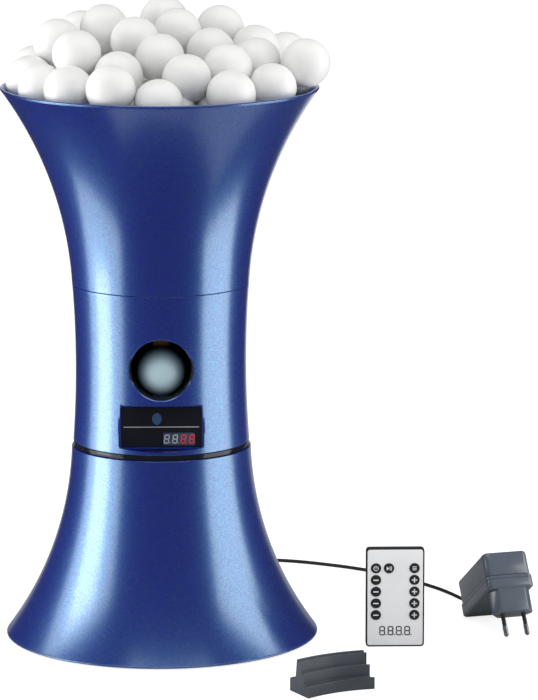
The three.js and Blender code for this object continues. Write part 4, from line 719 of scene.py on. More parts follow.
# Each plastic's colour or its name among the robot's colours, roughness, grain's scale, its
# relief, clouding and gloss
PLASTICS = {
    "gloss_black": ((0.008, 0.009, 0.014), 0.13, 500, 0.02),
    "satin_black": ((0.018, 0.019, 0.022), 0.42),
    "grained_black": ("plastic", 0.33, 1300, 0.22, 0.15),
    "adapter_black": ((0.10, 0.12, 0.15), 0.16, 1500, 0.14, 0.05, 1.0),
    "satin_grey": ((0.33, 0.35, 0.38), 0.45),
    "black_rubber": ((0.014, 0.014, 0.015), 0.7, 1500, 0.3),
    # The blue tyre's colour is partly its own blue and partly painted light: it is brightened so that it
    # shows in the shade inside the hole.
    "blue_tyre": ((0.18, 0.68, 1.0), 0.62, 1300, 0.5, 0.25),
    "brown_tyre": ((0.10, 0.045, 0.018), 0.62, 1300, 0.5, 0.25),
    "pale_face": ("face", 0.36, 700, 0.04, 0.015),
    "smoked_window": ((0.045, 0.052, 0.085), 0.16, 500, 0.02),
    "infrared_window": ((0.03, 0.07, 0.16), 0.14, 500, 0.02),
    "white_print": ((0.86, 0.87, 0.88), 0.5, 900, 0.05),
    "grey_print": ((0.26, 0.26, 0.27), 0.4, 900, 0.05),
    "black_print": ((0.02, 0.02, 0.024), 0.5, 900, 0.05),
    "segment_unlit": ((0.42, 0.46, 0.54), 0.4, 900, 0.02),
    "segment_lit": ((0.75, 0.02, 0.03), 0.4, 900, 0.02),
    "gear_white": ((0.7, 0.68, 0.6), 0.45),
}

# Each metal's colour and roughness
METALS = {
    "nickel_plate": ((0.72, 0.73, 0.75), 0.28),
    "dull_nickel": ((0.30, 0.31, 0.33), 0.30),
    "zinc_plate": ((0.55, 0.56, 0.58), 0.38),
    "brass": ((0.72, 0.53, 0.25), 0.32),
}

SPECIAL_FINISHES = {
    "pearl_blue_paint": pearl_paint,
    "ball_white": ball_plastic,
    "ball_in_shade": painted_shade_ball,
    "board_green": circuit_board,
}


FINISHES = {}


def finish(name):
    """The material of this name, made when it is first asked for."""
    if name not in FINISHES:
        FINISHES[name] = new_finish(name, bpy.context.scene.robot_colours)
    return FINISHES[name]


def new_finish(name, colours):
    """A new material: a metal, a special finish or a moulded plastic."""
    if name in METALS:
        return turned_metal(name, *METALS[name])
    if name in SPECIAL_FINISHES:
        return SPECIAL_FINISHES[name](name, colours)
    colour, *settings = PLASTICS[name]
    if isinstance(colour, str):
        colour = getattr(colours, colour)
    return moulded_plastic(name, colour, *settings)


def dress(piece, body, slot, look, *replaced):
    """Gives a piece its finish and its body, and lets it stand for CAD nodes. Its slot is not used."""
    piece.data.materials.clear()
    piece.data.materials.append(finish(look))
    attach(piece, body)
    if replaced:
        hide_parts(*replaced)
    return piece


def repaint(look, *nodes):
    """Gives CAD nodes that stay in sight their finish."""
    for node in nodes:
        piece = NODES[node]
        if not piece.material_slots:
            piece.data.materials.append(None)
        for slot in piece.material_slots:
            slot.material = finish(look)


class RobotOperator:
    """Shared settings of the operators below."""

    bl_options = {"REGISTER", "UNDO"}


# Stage


class ROBOT_OT_stage(RobotOperator, bpy.types.Operator):
    """Sets the camera, the white studio and its soft lamps"""

    bl_idname = "robot.stage"
    bl_label = "Stage"

    def execute(self, context):
        scene = context.scene
        scene.view_settings.view_transform = "Standard"
        lens = bpy.data.cameras.new("camera")
        lens.sensor_fit = "HORIZONTAL"
        lens.sensor_width = SENSOR_WIDTH
        lens.lens = IMAGE_FOCAL_PIXELS * SENSOR_WIDTH / IMAGE_WIDTH
        lens.clip_end = 50
        scene.camera = set_up("camera", lens, CAMERA_PLACE, CAMERA_TARGET)
        for name, place, target, size, power in LAMPS:
            light = bpy.data.lights.new(name, "AREA")
            light.shape = "RECTANGLE"
            light.size, light.size_y = size
            light.energy = power
            set_up(name, light, place, target)
        make_world(scene)
        make_floor()
        return {"FINISHED"}


def set_up(name, data, place, target):
    """A camera or lamp at a place, with its -Z towards its target and its Y upwards."""
    thing = bpy.data.objects.new(name, data)
    thing.location = place
    way = Vector(target) - Vector(place)
    thing.rotation_euler = way.to_track_quat("-Z", "Y").to_euler()
    bpy.context.scene.collection.objects.link(thing)
    return thing


def make_world(scene):
    """A white backdrop behind the object for what looks at it, and an even dim room round it."""
    scene.world = bpy.data.worlds.new("studio")
    tree = Tree(scene.world)
    mirrored = tree.spread(tree.depth_along("Generated"), ROOM_FRONT, 1.0, *ROOM_SECTOR, "SMOOTHSTEP")
    background = tree.nodes["Background"]
    background.inputs["Color"].default_value = (1, 1, 1, 1)
    tree.links.new(tree.white_for(mirrored, ROOM_DIFFUSE, 1.0), background.inputs["Strength"])


def make_floor():
    """A pale paper sweep into the white backdrop, which keeps the object's soft shadow."""
    floor = merged_mesh("floor", np.array(FLOOR_CORNERS), [[0, 1, 2, 3]])
    paper = Finish("pale_floor", [FLOOR_TONE] * 3, 0.9, Specular_IOR_Level=0.0)
    paper.set(Emission_Color=(1, 1, 1, 1))
    mirrored = paper.spread(paper.depth_along("Object"), 0.0, FLOOR_GLOW, *FLOOR_GLOW_FROM, "SMOOTHSTEP")
    paper.drive(paper.white_for(mirrored, 0.0, FLOOR_GLOW), "Emission Strength")
    floor.data.materials.append(paper.material)


# Cord and adapter


def in_adapter(x, y, z):
    """Moves points into the adapter's frame, from a place in it.

    Its x runs across its width, y up its length and z out of its back. It is tilted until
    its pins and its far lower edge touch the floor, then turned by its yaw.
    """
    reach = ADAPTER_LENGTH - PLUG_INSET - PIN_RADIUS / 2 - ADAPTER_EDGE
    tilt = np.arctan2(PLUG_HEIGHT + PIN_LENGTH, reach)
    yaw_sin, yaw_cos = np.sin(ADAPTER_YAW), np.cos(ADAPTER_YAW)
    tilt_sin, tilt_cos = np.sin(tilt), np.cos(tilt)
    across = [-yaw_cos, -yaw_sin, 0]
    along = [yaw_sin * tilt_cos, -yaw_cos * tilt_cos, tilt_sin]
    outward = [-yaw_sin * tilt_sin, yaw_cos * tilt_sin, tilt_cos]
    origin = np.array([*ADAPTER_PLACE, SEAT_GAP / 2 - ADAPTER_EDGE * tilt_sin])

    def put(points):
        return (points + np.array([x, y, z])) @ np.array([across, along, outward]) + origin

    return put


def coil_path():
    """Spiral in on the lower layer, climb while it reverses, spiral out on the upper one."""
    half = COIL_TURNS / 2
    inner = COIL_MEAN_RADIUS - COIL_PITCH * half / 2
    outer = COIL_MEAN_RADIUS + COIL_PITCH * half / 2
    turn = np.linspace(0, COIL_TURNS, COIL_STEPS + 1)
    radius = inner + COIL_PITCH * np.abs(turn - half)
    climb = np.clip(turn - half + 0.25, 0, 0.5) / 0.5
    angle = np.pi - 2 * np.pi * turn
    x = outer + radius * np.cos(angle)
    y = COIL_CENTRE_Y + radius * np.sin(angle)
    return np.column_stack([x, y, COIL_FLOOR + COIL_PITCH * climb]), outer


def cord_path():
    """The whole cord, from the plug through the coil and the strain relief into the adapter."""
    coil, _ = coil_path()
    relief_end = ADAPTER_STEP - 2 * SEAT_GAP - RELIEF_LENGTH
    way_in = np.vstack(
        [[[0, relief_end - 2 * CORD_RADIUS, 0], [0, relief_end, 0]], mm(INSIDE_ADAPTER_MM)]
    )
    last_run = np.vstack([mm(ADAPTER_RUN_MM), in_adapter(0, 0, RELIEF_DEPTH)(way_in)])
    return np.vstack([smooth_path(mm(PLUG_RUN_MM), CORD_STEP), coil[2:-2], smooth_path(last_run, CORD_STEP)])


class ROBOT_OT_cord(RobotOperator, bpy.types.Operator):
    """Lays the adapter's cord, with its coil, tie, plug and strain reliefs"""

    bl_idname = "robot.cord"
    bl_label = "Cord"

    def execute(self, context):
        radius = context.scene.robot_sizes.cord_radius
        path = cord_path()
        line = bpy.data.curves.new("adapter_cord", "CURVE")
        line.dimensions = "3D"
        line.bevel_depth = radius
        line.bevel_resolution = 4
        line.use_fill_caps = True
        spline = line.splines.new("POLY")
        spline.points.add(len(path) - 1)
        spline.points.foreach_set("co", np.column_stack([path, np.ones(len(path))]).ravel())
        cord = bpy.data.objects.new("adapter_cord", line)
        context.scene.collection.objects.link(cord)
        ends = [make_cord_plug(), make_coil_tie(), make_strain_relief()]
        runs = ("cord_plug_run", "cord_coil", "cord_adapter_run")
        dress(cord, "ground_set", "black_rubber", "black_rubber", *runs)
        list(make_adapter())
        return {"FINISHED"}


def ripple(count, waves):
    """A cosine of so many half waves, at a count of equal steps."""
    return np.cos(np.linspace(0, 1, count) * waves * np.pi)


def make_cord_plug():
    """The round power plug: barrel, ribbed grip and tapered strain relief, along +Y."""
    start, end = [corner.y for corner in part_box("dc_plug")]
    face = start + PLUG_FACE
    grip = face + PLUG_GRIP_LENGTH
    ribs = np.linspace(face + 3 * MM, grip - 3 * MM, 41)
    taper = np.linspace(grip + 0.4 * MM, end, 33)
    relief = np.linspace(3.2 * MM, 2.1 * MM, 33) + 0.175 * MM * ripple(33, 12)
    profile = np.concatenate(
        [
            mm([(0, 0), (2.4, 0), (2.7, 0.3)]) + [0, start],
            mm([(2.7, 0), (4.6, 0), (5.0, 0.4)]) + [0, face],
            np.column_stack([4.75 * MM + 0.25 * MM * ripple(41, 10), ribs]),
            mm([(5.0, -0.6), (4.4, 0)]) + [0, grip],
            np.column_stack([relief, taper]),
            [(0, end)],
        ]
    )
    plug = surface("power_plug", spun(profile, 40, "y", (0, 0, INLET_HEIGHT)))
    return dress(plug, "ground_set", "black_rubber", "black_rubber", "dc_plug")


def make_coil_tie():
    """The band round the coil's cords: a rounded rectangle's outline with thickness and width."""
    _, outer = coil_path()
    width = COIL_PITCH * COIL_TURNS / 2 + 2 * CORD_RADIUS + TIE_PLAY
    height = COIL_PITCH + 2 * CORD_RADIUS + TIE_PLAY
    inside, outside = [
        rounded_outline(width + 2 * grow, height + 2 * grow, 1.0 * MM + grow) for grow in (0, TIE_THICKNESS)
    ]
    side = TIE_HALF_WIDTH
    points = layers([(outside, -side), (outside, side), (inside, side), (inside, -side)])
    x, y, z = points[..., 0] + COIL_MEAN_RADIUS, -points[..., 2], points[..., 1]
    turn_sin, turn_cos = np.sin(TIE_ANGLE), np.cos(TIE_ANGLE)
    placed = np.stack([x * turn_cos - y * turn_sin, x * turn_sin + y * turn_cos, z], -1)
    placed += np.array([outer, COIL_CENTRE_Y, COIL_FLOOR + COIL_PITCH / 2])
    tie = surface("coil_band", placed, close_rows=True)
    return dress(tie, "ground_set", "black_plastic", "satin_black", "coil_tie")


def make_strain_relief():
    """The tapered, ringed sleeve where the cord enters the adapter, along its -Y."""
    radius = np.linspace(3.7 * MM, 2.1 * MM, 49) + 0.22 * MM * ripple(49, 14)
    sleeve = np.column_stack([radius, np.linspace(0, -RELIEF_LENGTH, 49)])
    profile = np.concatenate([[(0, 0)], sleeve, [(0, -RELIEF_LENGTH)]])
    put = in_adapter(0, ADAPTER_STEP - SEAT_GAP, RELIEF_DEPTH)
    relief = surface("strain_relief", put(spun(profile, 36, "y")))
    return dress(relief, "ground_set", "black_rubber", "black_rubber", "adapter_strain_relief")


def make_adapter():
    """The adapter's two shells, its plug block and its two pins, in the adapter's own frame."""
    put = in_adapter(0, ADAPTER_LENGTH / 2, 0)
    rounding = edge_steps(0, ADAPTER_FRONT, ADAPTER_FRONT_ROUND, 5)[:6]
    ridge = mm([(0, -3.3), (0.45, -3.0), (0.45, -2.6), (0, -2.3), (0, -1.2), (0.35, -0.9), (0.35, 0)])
    steps = np.concatenate([rounding, ridge + [0, ADAPTER_FRONT]])
    front = slab("adapter_front", ADAPTER_WIDTH, ADAPTER_LENGTH, 4.5 * MM, steps, put)
    carve(front, plug_block(), operation="UNION")
    low = ADAPTER_FRONT + SEAT_GAP
    rounding = edge_steps(low, low + ADAPTER_BACK, ADAPTER_BACK_ROUND, 6)[7:]
    steps = np.concatenate([mm([(0.9, 0), (0.2, 0.5), (0, 1.1)]) + [0, low], rounding])
    width, length = ADAPTER_WIDTH - 2 * ADAPTER_STEP, ADAPTER_LENGTH - 2 * ADAPTER_STEP
    back = slab("adapter_back", width, length, 5 * MM, steps, put)
    dress(front, "ground_set", "black_plastic", "adapter_black", "adapter_front_shell")
    dress(back, "ground_set", "black_plastic", "adapter_black", "adapter_back_shell")
    return [front, back, *make_pin(-1, "left"), *make_pin(1, "right")]


def plug_block():
    """The plug's eight-sided block, drafted towards its face, with its edges rounded."""
    half = [(-11.7, -8.5), (11.7, -8.5), (17.7, -1.0), (17.7, 1.0)]
    outline = rounded_corners(mm(half + [(-x, -y) for x, y in half]), PLUG_EDGE, 5)
    turn = np.linspace(0, np.pi / 2, 6)
    levels = [*(-PLUG_HEIGHT + PLUG_ROUND * (1 - np.cos(turn))), 2 * MM]
    shares = [*(1 - 0.09 * (1 - np.sin(turn))), 1.02]
    points = layers([(outline * share, level) for share, level in zip(shares, levels)])
    return surface("plug_block", in_adapter(0, ADAPTER_LENGTH - PLUG_INSET, 0)(points), caps=True)


def make_pin(side, name):
    """A plug pin: a bare rounded tip and a thinner black sleeve towards the block."""
    put = in_adapter(side * PIN_SPACING / 2, ADAPTER_LENGTH - PLUG_INSET, 0)
    sleeve_end = -PLUG_HEIGHT - SLEEVE_LENGTH
    tip = -PLUG_HEIGHT - PIN_LENGTH
    metal = np.concatenate(
        [
            [(0, tip), (1.0 * MM, tip)],
            arc(1.0 * MM, tip + 1.6 * MM, 1.0 * MM, -60, 0),
            [(PIN_RADIUS, sleeve_end), (0, sleeve_end)],
        ]
    )
    sleeve = np.concatenate(
        [
            mm([(0, 0.02), (1.75, 0.02)]) + [0, sleeve_end],
            mm([(1.75, -1.2), (2.3, -0.4), (2.3, 2), (0, 2)]) - [0, PLUG_HEIGHT],
        ]
    )
    tip_piece = surface(f"pin_{name}_tip", put(spun(metal, 32)))
    sleeve_piece = surface(f"pin_{name}_sleeve", put(spun(sleeve, 32)))
    dress(tip_piece, "ground_set", "steel", "dull_nickel", f"adapter_pin_{name}")
    dress(sleeve_piece, "ground_set", "black_plastic", "satin_black")
    return [tip_piece, sleeve_piece]


# Base


class ROBOT_OT_base(RobotOperator, bpy.types.Operator):
    """Builds the flared skirt, the glossy band under the head and the power inlet"""

    bl_idname = "robot.base"
    bl_label = "Base"

    def execute(self, context):
        sizes = context.scene.robot_sizes
        edge = sizes.edge
        ceiling = BASE_TOP - DECK_THICKNESS
        bead = rim_bead(BASE_FLARE, BASE_FOOT, -1, sizes.rim_bead)
        inner = flare(BASE_FLARE, BASE_FOOT, ceiling, SHELL_WALL, 40)
        profile = np.concatenate(
            [
                inner[:1],
                bead[::-1],
                flare(BASE_FLARE, bead[0, 1] + RIM_GROOVE[1], BASE_TOP - edge, 0, 60),
                arc(BASE_NECK_RADIUS - edge, BASE_TOP - edge, edge, 0, 90),
                [(DECK_BORE, BASE_TOP), (DECK_BORE, ceiling)],
                inner[:0:-1],
            ]
        )
        skirt = revolved("base_shell", profile)
        carve(skirt, cutter(INLET_HOLE_RADIUS, (100 * MM, 140 * MM), 64, (0, 0, INLET_HEIGHT)))
        dress(skirt, "ground_set", "pearl_blue", "pearl_blue_paint", "base_skirt")
        make_band(edge)
        make_inlet()
        repaint("satin_grey", "base_cover")
        repaint("black_rubber", "foot_1", "foot_2", "foot_3", "foot_4", "foot_centre")
        repaint("gear_white", "sun_gear")
        return {"FINISHED"}


def make_band(edge):
    """The dark glossy ring between base and head, with the turntable's hollow spindle."""
    soft = min(edge, BAND_EDGE)
    under, top = [corner.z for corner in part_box("turntable")]
    bore, spindle, boss = 9 * MM, 13.7 * MM, 54.7 * MM
    profile = np.concatenate(
        [
            [(bore, under), (boss, under), (boss, BAND_BOTTOM)],
            arc(BAND_RADIUS - soft, BAND_BOTTOM + soft, soft, -90, 0),
            arc(BAND_RADIUS - soft, BAND_TOP - soft, soft, 0, 90),
            [(spindle, BAND_TOP), (spindle, top), (bore, top)],
        ]
    )
    dress(revolved("turning_band", profile), "ground_set", "gloss_black", "gloss_black", "turntable")


def make_inlet():
    """The power socket's round barrel in the base's rear, with a raised lip at its mouth."""
    low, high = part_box("dc_inlet")
    lip = mm([(7.0, -0.8), (6.6, -0.2), (5.6, 0), (5.3, -0.6), (3.6, -0.6), (3.1, -1.0)]) + [0, high.y]
    profile = np.concatenate([mm([(3.1, 0), (7.0, 0)]) + [0, low.y], lip])
    inlet = surface("power_inlet", spun(profile, 48, "y", (0, 0, INLET_HEIGHT)), close_rows=True)
    dress(inlet, "ground_set", "black_plastic", "satin_black", "dc_inlet")


# Head


class ROBOT_OT_head(RobotOperator, bpy.types.Operator):
    """Builds the waisted housing with its launching hole and the panel's flat pocket"""

    bl_idname = "robot.head"
    bl_label = "Head"

    def execute(self, context):
        housing = make_housing(context.scene.robot_sizes.edge)
        dress(housing, "head", "pearl_blue", "pearl_blue_paint", "main_housing")
        make_barrel()
        make_wheels()
        repaint("satin_black", "head_floor", "launch_frame", "feed_deck", "feed_tube")
        motors = ("upper_wheel_motor", "lower_wheel_motor", "oscillation_motor", "feed_motor")
        repaint("zinc_plate", *motors)
        repaint("board_green", "control_board")
        repaint("brass", "oscillation_pinion")
        return {"FINISHED"}


def make_housing(edge):
    """A waisted tube, a flat backing for the panel inside it, and the cuts through both."""
    spigot = flare_at(BOWL_FLARE, BOWL_BOTTOM, SHELL_WALL) - SEAT_GAP
    bore = spigot - SPIGOT_WALL
    ledge = HEAD_TOP - LEDGE_DROP
    under_ledge = ledge - LEDGE_THICKNESS
    soft = min(edge, SHELL_EDGE)
    spigot_top = HEAD_TOP + SPIGOT_RISE
    outer = flare(HEAD_FLARE, HEAD_BOTTOM + soft, HEAD_TOP - soft, 0, 50)
    profile = np.concatenate(
        [
            arc(outer[0, 0] - soft, HEAD_BOTTOM + soft, soft, -90, -5),
            outer,
            arc(outer[-1, 0] - soft, HEAD_TOP - soft, soft, 5, 90),
            [(spigot, HEAD_TOP), (spigot, spigot_top - soft), (spigot - soft, spigot_top)],
            [(bore, spigot_top), (bore, ledge), (bore - LEDGE_DEPTH, ledge)],
            [(bore - LEDGE_DEPTH, under_ledge)],
            flare(HEAD_FLARE, HEAD_BOTTOM, under_ledge, SHELL_WALL, 20)[::-1],
        ]
    )
    housing = revolved("head_shell", profile)
    backing = slab(
        "backing",
        POCKET_WIDTH + 2 * POCKET_MARGIN,
        POCKET_HEIGHT + 2 * POCKET_MARGIN - 2.5 * MM,
        POCKET_CORNER,
        [(0, PANEL_PLANE - POCKET_WALL), (0, 90 * MM)],
        standing(0, 0, POCKET_BOTTOM + POCKET_HEIGHT / 2 + 1.2 * MM),
    )
    core_foot = HEAD_BOTTOM + 1 * MM
    core = flare(HEAD_FLARE, core_foot, ledge, 0.6 * MM, 30)
    inside = surface("inside", spun(np.concatenate([[(0, core_foot)], core, [(0, ledge)]]), ROUND_SIDES))
    carve(backing, inside, operation="INTERSECT")
    carve(housing, backing, operation="UNION")
    flat, lip = 69 * MM, -0.3 * MM
    pocket_steps = [(0, PANEL_PLANE), (0, flat), (lip, flat + 0.6 * MM), (lip, OUTSIDE)]
    pocket_middle = standing(0, 0, POCKET_BOTTOM + POCKET_HEIGHT / 2)
    pocket = slab("tool", POCKET_WIDTH, POCKET_HEIGHT, POCKET_CORNER, pocket_steps, pocket_middle)
    recess = slab(
        "tool",
        PANEL_WIDTH + 2 * SEAT_GAP,
        PANEL_HEIGHT + 2 * SEAT_GAP,
        1.8 * MM,
        [(0, PANEL_PLANE - 2.3 * MM), (0, OUTSIDE)],
        standing(0, 0, PANEL_MIDDLE),
    )
    for tool in (pocket, recess, ledge_tool(), launch_tool(), *window_tools()):
        carve(housing, tool)
    return housing


def ledge_tool():
    """A wedge that lowers the pocket's floor towards the front, in a shallow arc in plan."""
    count = 25
    half = POCKET_WIDTH / 2 - POCKET_MARGIN
    across = np.linspace(-half, half, count)
    rows = []
    for depth, drop in ((PANEL_PLANE, 0.0), (PANEL_PLANE + 12 * MM, 2.2 * MM)):
        low = POCKET_BOTTOM - drop * (1 - (across / (half * 1.02)) ** 4)
        plane = np.full(count, -depth)
        front = np.column_stack([across, plane, low])
        top = np.column_stack([across, plane, np.full(count, POCKET_BOTTOM + 4 * MM)])
        rows.append(np.concatenate([front, top[::-1]]))
    return surface("tool", np.stack(rows), caps=True)


def launch_tool():
    """The hole's cutter: a cylinder that flares over a chamfer where it leaves the skin.

    The skin lies sqrt(R^2 - x^2) before the axis, where R is the flare's radius at z.
    """
    turn = full_turn(HOLE_SIDES)
    rows = []
    wide = 1.3 * LAUNCH_CHAMFER
    for depth, grow in ((None, 0), (-LAUNCH_CHAMFER, 0), (0.2 * MM, wide), (9 * MM, wide)):
        x = (LAUNCH_RADIUS + grow) * np.cos(turn)
        z = LAUNCH_HEIGHT + (LAUNCH_RADIUS + grow) * np.sin(turn)
        skin = np.sqrt(flare_at(HEAD_FLARE, z) ** 2 - x**2)
        y = np.full(HOLE_SIDES, WHEEL_SETBACK) if depth is None else skin + depth
        rows.append(np.stack([x, -y, z], -1))
    return surface("tool", np.stack(rows), caps=True)


def receiver_ovals(grow, steps):
    """Ovals round the receiver window: each step gives a share of their size, and a depth."""
    turn = full_turn(64)
    (x, z), (half_width, half_height) = RECEIVER_PLACE, RECEIVER_HALF
    rows = []
    for share, depth in steps:
        across = x + (half_width + grow) * share * np.cos(turn)
        up = z + (half_height + grow) * share * np.sin(turn)
        rows.append(np.stack([across, np.full(64, -depth), up], -1))
    return np.stack(rows)


def window_tools():
    """Cutters for the display's window and the oval receiver window."""
    ends = (50 * MM, OUTSIDE)
    width, height = DISPLAY_WIDTH + 2 * WINDOW_GAP, DISPLAY_HEIGHT + 2 * WINDOW_GAP
    display = slab("tool", width, height, 0.8 * MM, [(0, end) for end in ends], standing(*DISPLAY_PLACE))
    receiver = receiver_ovals(WINDOW_GAP, [(1, end) for end in ends])
    return [display, surface("tool", receiver, caps=True)]


def make_barrel():
    """The launching barrel's smooth liner just inside the hole, open for the two wheels."""
    inner, outer = LAUNCH_RADIUS - 0.05 * MM, LAUNCH_RADIUS + 1.2 * MM
    front, back = -66.4 * MM, -12 * MM
    profile = np.array([(inner, front), (inner, back), (outer, back), (outer, front)])
    points = spun(profile, HOLE_SIDES, "y", (0, 0, LAUNCH_HEIGHT))
    liner = surface("barrel_liner", points, close_rows=True)
    slot_steps = [(0, 15.5 * MM), (0, 54.5 * MM)]
    carve(liner, slab("tool", 17.2 * MM, 70 * MM, 0.5 * MM, slot_steps, standing(0, 0, LAUNCH_HEIGHT)))
    dress(liner, "head", "black_plastic", "satin_black")


def make_wheels():
    """Each wheel, about X: a tyre with rounded shoulders on a dished hub."""
    half = 6.75
    shoulder = [(12, -half), (15.2, -half), (15.8, 0.4 - half), (16, 1.0 - half)]
    tyre = mm(shoulder + [(r, -x) for r, x in shoulder[::-1]])
    dish = [(11.7, half), (9.7, half), (9.7, 2 - half), (4, 2 - half), (4, half - 0.3)]
    hub = mm([(1.3, -half), (11.3, -half), (11.7, 0.4 - half), *dish, (3.7, half), (1.3, half)])
    wheels = (("upper", UPPER_WHEEL_HEIGHT, "brown"), ("lower", LOWER_WHEEL_HEIGHT, "blue"))
    for name, height, colour in wheels:
        for part, profile, slot, look in (
            ("tyre", tyre, f"{colour}_rubber", f"{colour}_tyre"),
            ("hub", hub, "grey_plastic", "satin_grey"),
        ):
            points = spun(profile, 96, "x", (0, -WHEEL_SETBACK, height))
            wheel = surface(f"{name}_{part}", points, close_rows=True)
            dress(wheel, f"{name}_wheel", slot, look, f"{name}_wheel_{part}")


# Panel

# The ends of an eight's seven bars, in half widths and half heights: across, then left and right
SEGMENTS = [((-1, level), (1, level)) for level in (1, 0, -1)]
SEGMENTS += [((side, low), (side, low + 1)) for low in (0, -1) for side in (-1, 1)]


def eight(x, z, width, height, stroke, slant=0.0, gap=0.16):
    """Outlines of an eight's seven bars round (x, z): each a long hexagon, sheared by slant."""
    outlines = []
    half = np.array([width / 2, height / 2])
    for start, end in SEGMENTS:
        start, end = start * half, end * half
        way = (end - start) / np.linalg.norm(end - start)
        side = np.array([-way[1], way[0]]) * stroke / 2
        start = start + way * stroke * (0.5 + gap)
        end = end - way * stroke * (0.5 + gap)
        nib = way * stroke / 2
        line = np.array([start - nib, start + side, end + side, end + nib, end - side, start - side])
        outlines.append(np.column_stack([x + line[:, 0] + slant * line[:, 1], z + line[:, 1]]))
    return outlines


def dot(x, z, radius):
    """A dot's outline in X and Z."""
    a = full_turn(12)
    return np.column_stack([x + radius * np.cos(a), z + radius * np.sin(a)])


def bar(x, z, width, height):
    """A rectangle's outline in X and Z."""
    low_x, high_x, low_z, high_z = x - width / 2, x + width / 2, z - height / 2, z + height / 2
    return [(low_x, low_z), (high_x, low_z), (high_x, high_z), (low_x, high_z)]


def printed(name, outlines, front, thickness):
    """Thin raised print facing -Y: each outline in X and Z becomes a flat plate."""
    corners, faces, base = [], [], 0
    for outline in outlines:
        x, z = np.transpose(outline)
        count = len(x)
        corners += [np.column_stack([x, np.full(count, y), z]) for y in (front, front + thickness)]
        k = np.arange(count)
        n = (k + 1) % count
        sides = np.stack([k, count + k, count + n, n], -1)
        faces += [(base + k).tolist(), (base + count + k)[::-1].tolist(), *(base + sides).tolist()]
        base += 2 * count
    return merged_mesh(name, np.concatenate(corners), faces)


class ROBOT_OT_panel(RobotOperator, bpy.types.Operator):
    """Builds the glossy panel with its display, receiver window and dividing line"""

    bl_idname = "robot.panel"
    bl_label = "Panel"

    def execute(self, context):
        front = PANEL_PLANE - SEAT_GAP
        glass = front - 0.15 * MM
        steps = edge_steps(front - PANEL_THICKNESS, front, 0.35 * MM, 3)
        panel = slab("panel_plate", PANEL_WIDTH, PANEL_HEIGHT, 1.5 * MM, steps, standing(0, 0, PANEL_MIDDLE))
        for window in window_tools():
            carve(panel, window)
        dress(panel, "head", "gloss_black", "gloss_black", "control_panel")
        steps = edge_steps(front - 4.6 * MM, glass, 0.2 * MM, 2)
        place = standing(*DISPLAY_PLACE)
        display = slab("display_window", DISPLAY_WIDTH, DISPLAY_HEIGHT, 0.75 * MM, steps, place)
        dress(display, "head", "display", "smoked_window", "digit_display")
        dome = [(1, 4.6), (1, 0.5), (0.97, 0.25), (0.8, 0.08), (0.5, -0.02), (0, -0.05)]
        ovals = receiver_ovals(0, [(share, front - depth * MM) for share, depth in dome])
        receiver = surface("receiver_window", ovals, caps=True)
        dress(receiver, "head", "display", "infrared_window", "ir_window")
        for name, look, first in (("unlit", "segment_unlit", 0), ("lit", "segment_lit", 2)):
            outlines = []
            for k in (first, first + 1):
                x = (4.4 + 6.85 * k) * MM
                outlines += eight(x, 177.5 * MM, 3.5 * MM, 6.6 * MM, 0.75 * MM, 0.14)
                outlines.append(dot(x + 2.55 * MM, 174.2 * MM, 0.42 * MM))
            digits = printed(f"digits_{name}", outlines, -glass - 0.04 * MM, 0.1 * MM)
            dress(digits, "head", "display", look)
        line = bar(0, PANEL_LINE_HEIGHT, 62 * MM, 0.84 * MM)
        divider = printed("panel_line", [line], -front - 0.04 * MM, 0.1 * MM)
        dress(divider, "head", "gloss_black", "grey_print")
        return {"FINISHED"}


# Bowl and balls


class ROBOT_OT_bowl(RobotOperator, bpy.types.Operator):
    """Builds the flared bowl"""

    bl_idname = "robot.bowl"
    bl_label = "Bowl"

    def execute(self, context):
        sizes = context.scene.robot_sizes
        soft = min(sizes.edge, SHELL_EDGE)
        lip = 0.4 * MM
        bead = rim_bead(BOWL_FLARE, BOWL_TOP, 1, sizes.rim_bead)
        outer = flare(BOWL_FLARE, BOWL_BOTTOM + soft, bead[0, 1] - RIM_GROOVE[1], 0, 70)
        inner = flare(BOWL_FLARE, BOWL_BOTTOM, BOWL_TOP - lip, SHELL_WALL, 50)
        profile = np.concatenate(
            [
                inner[:1],
                arc(outer[0, 0] - soft, BOWL_BOTTOM + soft, soft, -90, -5),
                outer,
                bead,
                inner[-1:] + lip,
                inner[:0:-1],
            ]
        )
        dress(revolved("bowl_shell", profile), "bowl", "pearl_blue", "pearl_blue_paint", "ball_bowl")
        repaint("satin_grey", "feed_rotor")
        return {"FINISHED"}


